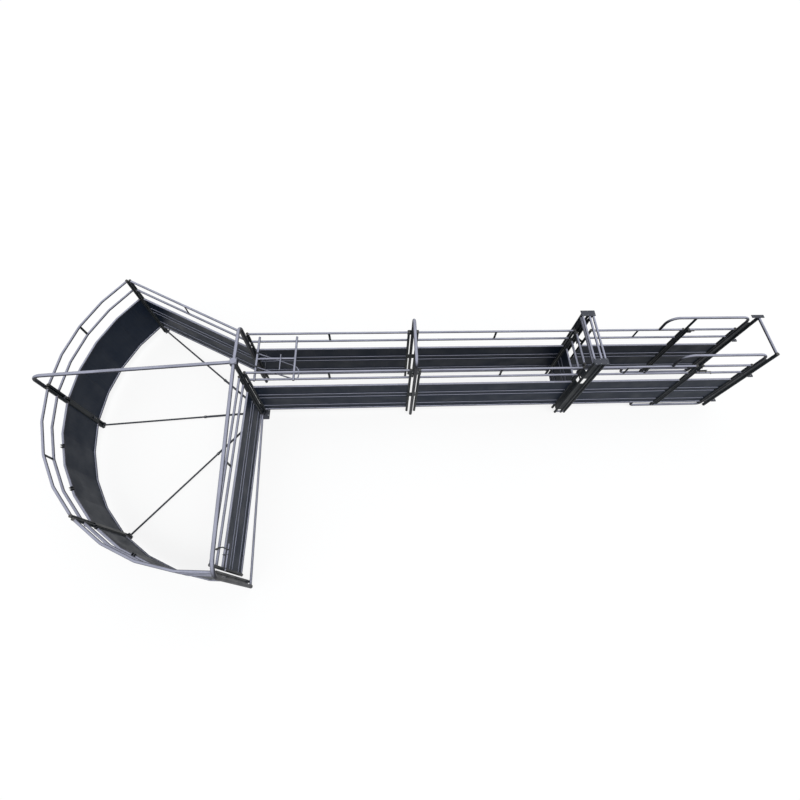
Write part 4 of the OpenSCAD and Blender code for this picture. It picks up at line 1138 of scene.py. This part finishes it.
class TUB_OT_stop_gate(Piece):
    """Makes the portal, its plates, the stop gate and its bolt"""
    bl_idname = "sweep_tub.stop_gate"
    bl_label = "Stop gate and portal"

    def make(self, p):
        ys = -p.portal_off, p.alley_w + p.portal_off
        self.portal(Form(), p, *ys)
        self.plates(Form(), p, ys)
        home = shift(p.stop_x, p.hinge_y) @ turn(90)
        bolt_place = shift(p.stop_len) @ mirrored()
        panel(p, home, p.stop_len, p.stop_zs, (70, 70), (), 1, 0.7, "Stop_gate", "stop_gate",
              lambda f: bolt_guides(f.at(bolt_place), p))
        sliding_bolt(p, home @ bolt_place, "Stop_gate_bolt_bar", "stop_gate_bolt", "stop_bolt")

    def portal(self, f, p, y0, y1):
        """Three hoops, a second top bar on the first, ties at the feet, the gate's hinge
        rings and the keeper that the bolt slides into."""
        z, low_z = p.bow_z, p.bow_z - 85
        ends = (y0, 90), (y1, -90)
        for x in p.hoops:
            for y, a in ends:
                f.post(x, y, 0, z + p.post_r, p.post_d, cap=False)
            f.bar((x, y0 + 15, z), (x, y1 - 15, z), p.rail_d, "rail", n=22)
            for y, a in ends:
                f.bead(x, y, z, a, p.post_r, p.rail_r, p.bead_r)
        x = p.stop_x
        f.bar((x, y0 + 15, low_z), (x, y1 - 15, low_z), p.rail_d, "rail", n=22)
        for y, a in ends:
            f.bead(x, y, low_z, a, p.post_r, p.rail_r, p.bead_r)
            for h0, h1 in zip(p.hoops, p.hoops[1:]):
                f.bar((h0 + 18, y, p.brace_z), (h1 - 18, y, p.brace_z), p.brace_d, "rail")
        f.at(shift(x, p.hinge_y), turn(-90))
        for rail_z in (p.stop_zs[0], p.stop_zs[2]):
            hinge_ring(f, p, rail_z - p.rail_r - 40.5, p.hinge_y + p.portal_off)
        f.at()
        z, g, t = p.bolt_z, p.bolt_clear, 6
        y = p.hinge_y + p.stop_len + 58
        for k in (-1, 1):
            low = z - t / 2 + k * (g + t / 2)
            f.block((x, y, low), (x + p.bolt_off + 20, y1 - p.post_r + 2, low + t))
            near = x + p.bolt_off - t / 2 + k * (g + t / 2)
            f.block((near, y, z - g - 1), (near + t, y + 30, z + g + 1))
        f.build("Stop_portal_tubes", "stop_portal", "tube_paint")

    def plates(self, f, p, ys):
        """A plate over the posts on either side, and the webs between the posts."""
        z = p.bow_z + p.post_r
        top = z + 8.3
        for y in ys:
            f.block((p.stop_x - 35, y - 60, z - 0.5), (p.hoops[2] + 35, y + 60, top),
                    chamfer=4, wear=0.5)
            for x in (p.hoops[0], p.hoops[0] + 85, p.hoops[2]):
                for d in (-42, 42):
                    f.screw((x, y + d, top), Z, 13)
            for h0, h1 in zip(p.hoops, p.hoops[1:]):
                for z0, z1 in p.webs:
                    upright_plate(f, (h0, y), (h1, y), p.post_r, p.post_r, z0, z1)
        f.build("Portal_corner_plates", "portal_plates")


class TUB_OT_side_frames(Piece):
    """Makes the two bent loops that carry the side gates"""
    bl_idname = "sweep_tub.side_frames"
    bl_label = "Side frames"

    def make(self, p):
        """The loop is one run of tube, whose four corners have bends of their own. It
        starts on the third panel's top rail and ends at its bottom rail."""
        x0, x1, split_z = p.loop_x, p.frame_x, 600
        high, low = ((x0 + x1) / 2, 0, p.bow_z), ((x0 + x1) / 2, 0, p.sill_z)
        loop = np.concatenate([
            bent([(x0, 0, p.top_z), (x0, 0, p.bow_z), high], radius=200, steps=14)[:-1],
            bent([high, (x1, 0, p.bow_z), (x1, 0, split_z)], radius=150, steps=12)[1:-1],
            bent([(x1, 0, split_z), (x1, 0, p.sill_z), low], radius=80)[:-1],
            bent([low, (x0, 0, p.sill_z), (x0, 0, p.bottom_z)], radius=80)[1:]])
        for side, mirror in sides(p):
            f = Form(mirror)
            f.tube(stations(loop, 400)[0], p.post_d, "rail", n=26)
            z0, z1 = p.sill_z + 15, p.bow_z - 15
            f.bar((p.jamb_x, 0, z0), (p.jamb_x, 0, z1), p.rail_d, "post", n=22)
            f.at(shift(p.hinge_x))
            for z in (p.gate_zs[0], p.gate_zs[2]):
                hinge_ring(f, p, z - p.rail_r - 40.5, p.frame_x - p.hinge_x)
            f.build(f"{side}_side_loop", f"{side.lower()}_side_frame", "tube_paint")


class TUB_OT_side_gates(Piece):
    """Makes the two side gates, their sliding bolts and the keepers"""
    bl_idname = "sweep_tub.side_gates"
    bl_label = "Side gates"

    def make(self, p):
        for side, mirror in sides(p):
            key, home = side.lower(), mirror @ shift(p.gate_x)
            panel(p, home, p.gate_len, p.gate_zs, (120, 120), (), 1, 1.9, f"{side}_side_gate",
                  key + "_gate", lambda f: bolt_guides(f.at(turn(180)), p))
            sliding_bolt(p, home @ turn(180), f"{side}_gate_bolt_bar", key + "_gate_bolt",
                         key + "_bolt")
        self.keepers(Form(), p)

    def keepers(self, f, p):
        """On each jamb two straps, over and under the bolt, and one across their ends."""
        x, z, g, t = p.jamb_x, p.bolt_z, p.bolt_clear, 6
        y = -p.bolt_off - g
        for _, mirror in sides(p):
            f.at(mirror)
            for k in (-1, 1):
                low = z - t / 2 + k * (g + t / 2)
                f.block((x - 12, y - 1, low), (x + 12, 4 - p.rail_r, low + t))
            f.block((x - 12, y - t - 0.2, z - g - t), (x + 12, y, z + g + t))
        f.build("Gate_keeper_straps", "gate_keepers")


class TUB_OT_end_frame(Piece):
    """Makes the end frame, its web plates and the lugs for the chute"""
    bl_idname = "sweep_tub.end_frame"
    bl_label = "End frame"

    def make(self, p):
        top = p.bow_z + p.bow_r
        self.frame(Form(), p, top)
        self.plates(Form(), p, top)
        f = Form()
        for y in (0, p.alley_w):
            for z in (230, 1400):
                self.lug(f.at(shift(p.end_x + p.bow_r, y, z)))
        f.build("Chute_lug_plates", "chute_lugs")

    def frame(self, f, p, top):
        """Two posts with low plugs, and the tube between them."""
        r, x, w = p.bow_r, p.end_x, p.alley_w
        for y, a in ((0, 90), (w, -90)):
            f.post(x, y, 0, top - 8, p.bow_d, cap=False)
            f.lathe((x, y, top - 8), Z, [(r - 4, -1), (r + 0.6, -1), (r + 0.6, 2), (r - 1, 5),
                                         (r * 0.7, 7), (2, 8)], "cap")
            f.bead(x, y, p.bow_z, a, r, p.post_r, p.bead_r)
        f.bar((x, 18, p.bow_z), (x, w - 18, p.bow_z), p.post_d, "rail", n=24)
        f.build("End_frame_tubes", "end_frame", "tube_paint")

    def plates(self, f, p, top):
        """The webs beside the side frames, and a level plate over the far posts."""
        r, x, w = p.bow_r, p.end_x, p.alley_w
        for y in (0, w):
            upright_plate(f, (p.frame_x, y), (x, y), p.post_r, r, p.webs[0][0], p.webs[1][1])
        f.block((p.frame_x - 25, w - 32, top - 1), (p.frame_x + 215, w + 32, top + 8),
                chamfer=4, wear=0.5)
        for screw_x in (p.frame_x, x, x + 60):
            f.screw((screw_x, w, top + 8), Z, 13)
        f.build("End_web_plates", "end_spacers")

    def lug(self, f):
        """Square-ended plate with a bore. The inner half of each ring follows the bore
        and the outer half the plate's edge, so that one closed profile makes it."""
        half, t, bore_x, bore_r, n = 30, 8, 70, 10.5, 32
        u = np.arange(n) * 2 * pi / n + pi / n
        circle = np.stack([np.cos(u), np.sin(u)], 1)
        bore, square = bore_r * circle, half * circle / np.abs(circle).max(1, keepdims=True)
        up = [(bore, t - 1), (bore * 1.1, t), (square * 0.97, t), (square, t - 1)]
        rings = [(ring, -h) for ring, h in up] + up[::-1]
        f.patch([np.column_stack([ring + (bore_x, 0), np.full(n, h)]) for ring, h in rings],
                "post", 0.6, loop=True)
        f.block((-3, -half, -t), (42, half, t), wear=0.6)
        for z in (-8.5, 8.5):
            f.stitch((1, 0, z), Y, 20, 4)


class TUB_OT_stage(bpy.types.Operator):
    """Lays the pale floor and sets the soft light and the camera"""
    bl_idname = "sweep_tub.stage"
    bl_label = "Floor, light and camera"

    def execute(self, context):
        self.floor(context)
        self.light(context)
        self.camera(context)
        return {"FINISHED"}

    def floor(self, context):
        """A level square, 160 m wide, on the object's feet. The camera and reflections see
        it as a white glow by four fifths, over a matt pale floor that keeps the shadow."""
        mesh = bpy.data.meshes.new("Pale_floor")
        w, glowing = 80.0, 0.8
        mesh.from_pydata([(-w, -w, 0), (w, -w, 0), (w, w, 0), (-w, w, 0)], [], [(0, 1, 2, 3)])
        floor = bpy.data.objects.new("Pale_floor", mesh)
        context.scene.collection.objects.link(floor)
        material, node = blank("pale_floor")
        ray = node("LightPath").node.outputs
        seen = node("Math", {0: ray["Is Camera Ray"], 1: ray["Is Glossy Ray"]},
                    operation="MAXIMUM")
        seen = node("Math", {0: seen, 1: ray["Is Transmission Ray"]}, operation="MAXIMUM")
        part = node("Math", {0: seen, 1: glowing}, operation="MULTIPLY")
        cloud = node("TexNoise", {"Vector": node("TexCoord", out="Object"), "Scale": 0.3})
        tone = context.scene.tub_colours.floor
        darker = [0.97 * c for c in tone]
        shade = node("Mix", {"Factor": cloud, "A": rgba(tone), "B": rgba(darker)}, "Result",
                     data_type="RGBA")
        matt = node("BsdfDiffuse", {"Color": shade})
        glow = node("Emission", {"Color": (1, 1, 1, 1), "Strength": 1.0})
        node("OutputMaterial", {"Surface": node("MixShader", {0: part, 1: matt, 2: glow})})
        mesh.materials.append(material)

    def light(self, context):
        """Even sky, brighter overhead, and a broad high sun for soft shadows."""
        world = bpy.data.worlds.new("soft_sky")
        context.scene.world = world
        world.use_nodes = True
        world.node_tree.nodes.clear()
        node = partial(add, world.node_tree)
        up = node("SeparateXYZ", {0: node("TexCoord", out="Generated")}, "Z")
        level = node("MapRange", {"Value": up, "To Min": 0.35})
        sky = node("Background", {"Color": (0.95, 0.97, 1, 1), "Strength": level})
        white = node("Background", {"Color": (1, 1, 1, 1), "Strength": 1.0})
        seen = node("LightPath", out="Is Camera Ray")
        node("OutputWorld", {"Surface": node("MixShader", {0: seen, 1: sky, 2: white})})
        lamp = bpy.data.lights.new("High_sun", "SUN")
        lamp.energy, lamp.angle = 1.6, radians(30)
        sun = bpy.data.objects.new("High_sun", lamp)
        sun.rotation_euler = (radians(14), radians(14), 0)
        sun.location = (3, -2, 8)
        context.scene.collection.objects.link(sun)

    def camera(self, context):
        """High in front of the alley, looking steeply down on it. The focal length is in
        pixels of the 800 pixel wide picture, for a sensor of 36 mm."""
        yaw, pitch, roll = radians(-6.22), radians(59.81), radians(4.68)
        focal, picture, sensor = 471.306, 800, 36
        ahead = np.array([-sin(yaw) * cos(pitch), cos(yaw) * cos(pitch), -sin(pitch)])
        right = np.array([cos(yaw), sin(yaw), 0])
        up = np.cross(right, ahead)
        x = cos(roll) * right + sin(roll) * up
        y = -sin(roll) * right + cos(roll) * up
        data = bpy.data.cameras.new("Camera")
        data.sensor_width, data.lens = sensor, focal / picture * sensor
        data.shift_x, data.shift_y = -0.0073, -0.0662
        data.clip_end = 400
        camera = bpy.data.objects.new("Camera", data)
        m = Matrix(np.column_stack([x, y, -ahead]).tolist()).to_4x4()
        m.translation = (2.433, -3.809, 9.243)
        camera.matrix_world = m
        context.scene.collection.objects.link(camera)
        context.scene.camera = camera
        context.scene.view_settings.view_transform = "Standard"


PIECES = (TUB_OT_pivot, TUB_OT_overhead_bows, TUB_OT_rim_panels, TUB_OT_lead_panel,
          TUB_OT_rim_joints, TUB_OT_floor_braces, TUB_OT_sweep_gate, TUB_OT_alley_panels,
          TUB_OT_mid_bow, TUB_OT_backstop, TUB_OT_stop_gate, TUB_OT_side_frames,
          TUB_OT_side_gates, TUB_OT_end_frame, TUB_OT_stage)


class TUB_PT_panel(bpy.types.Panel):
    """Sizes, colours and pieces of the tub"""
    bl_idname = "TUB_PT_panel"
    bl_label = "Sweep Tub"
    bl_space_type = "VIEW_3D"
    bl_region_type = "UI"
    bl_category = "Sweep Tub"

    def draw(self, context):
        for group in (context.scene.tub_sizes, context.scene.tub_colours):
            column = self.layout.column(align=True)
            for key in type(group).__annotations__:
                column.prop(group, key)
        column = self.layout.column(align=True)
        for piece in PIECES:
            column.operator(piece.bl_idname)


CLASSES = (TubSizes, TubColours, *PIECES, TUB_PT_panel)


def register():
    for cls in CLASSES:
        bpy.utils.register_class(cls)
    bpy.types.Scene.tub_sizes = PointerProperty(type=TubSizes)
    bpy.types.Scene.tub_colours = PointerProperty(type=TubColours)


def unregister():
    del bpy.types.Scene.tub_colours
    del bpy.types.Scene.tub_sizes
    for cls in reversed(CLASSES):
        bpy.utils.unregister_class(cls)


def main():
    register()
    for piece in PIECES:
        getattr(bpy.ops.sweep_tub, piece.bl_idname.split(".")[1])()


if __name__ == "__main__":
    main()
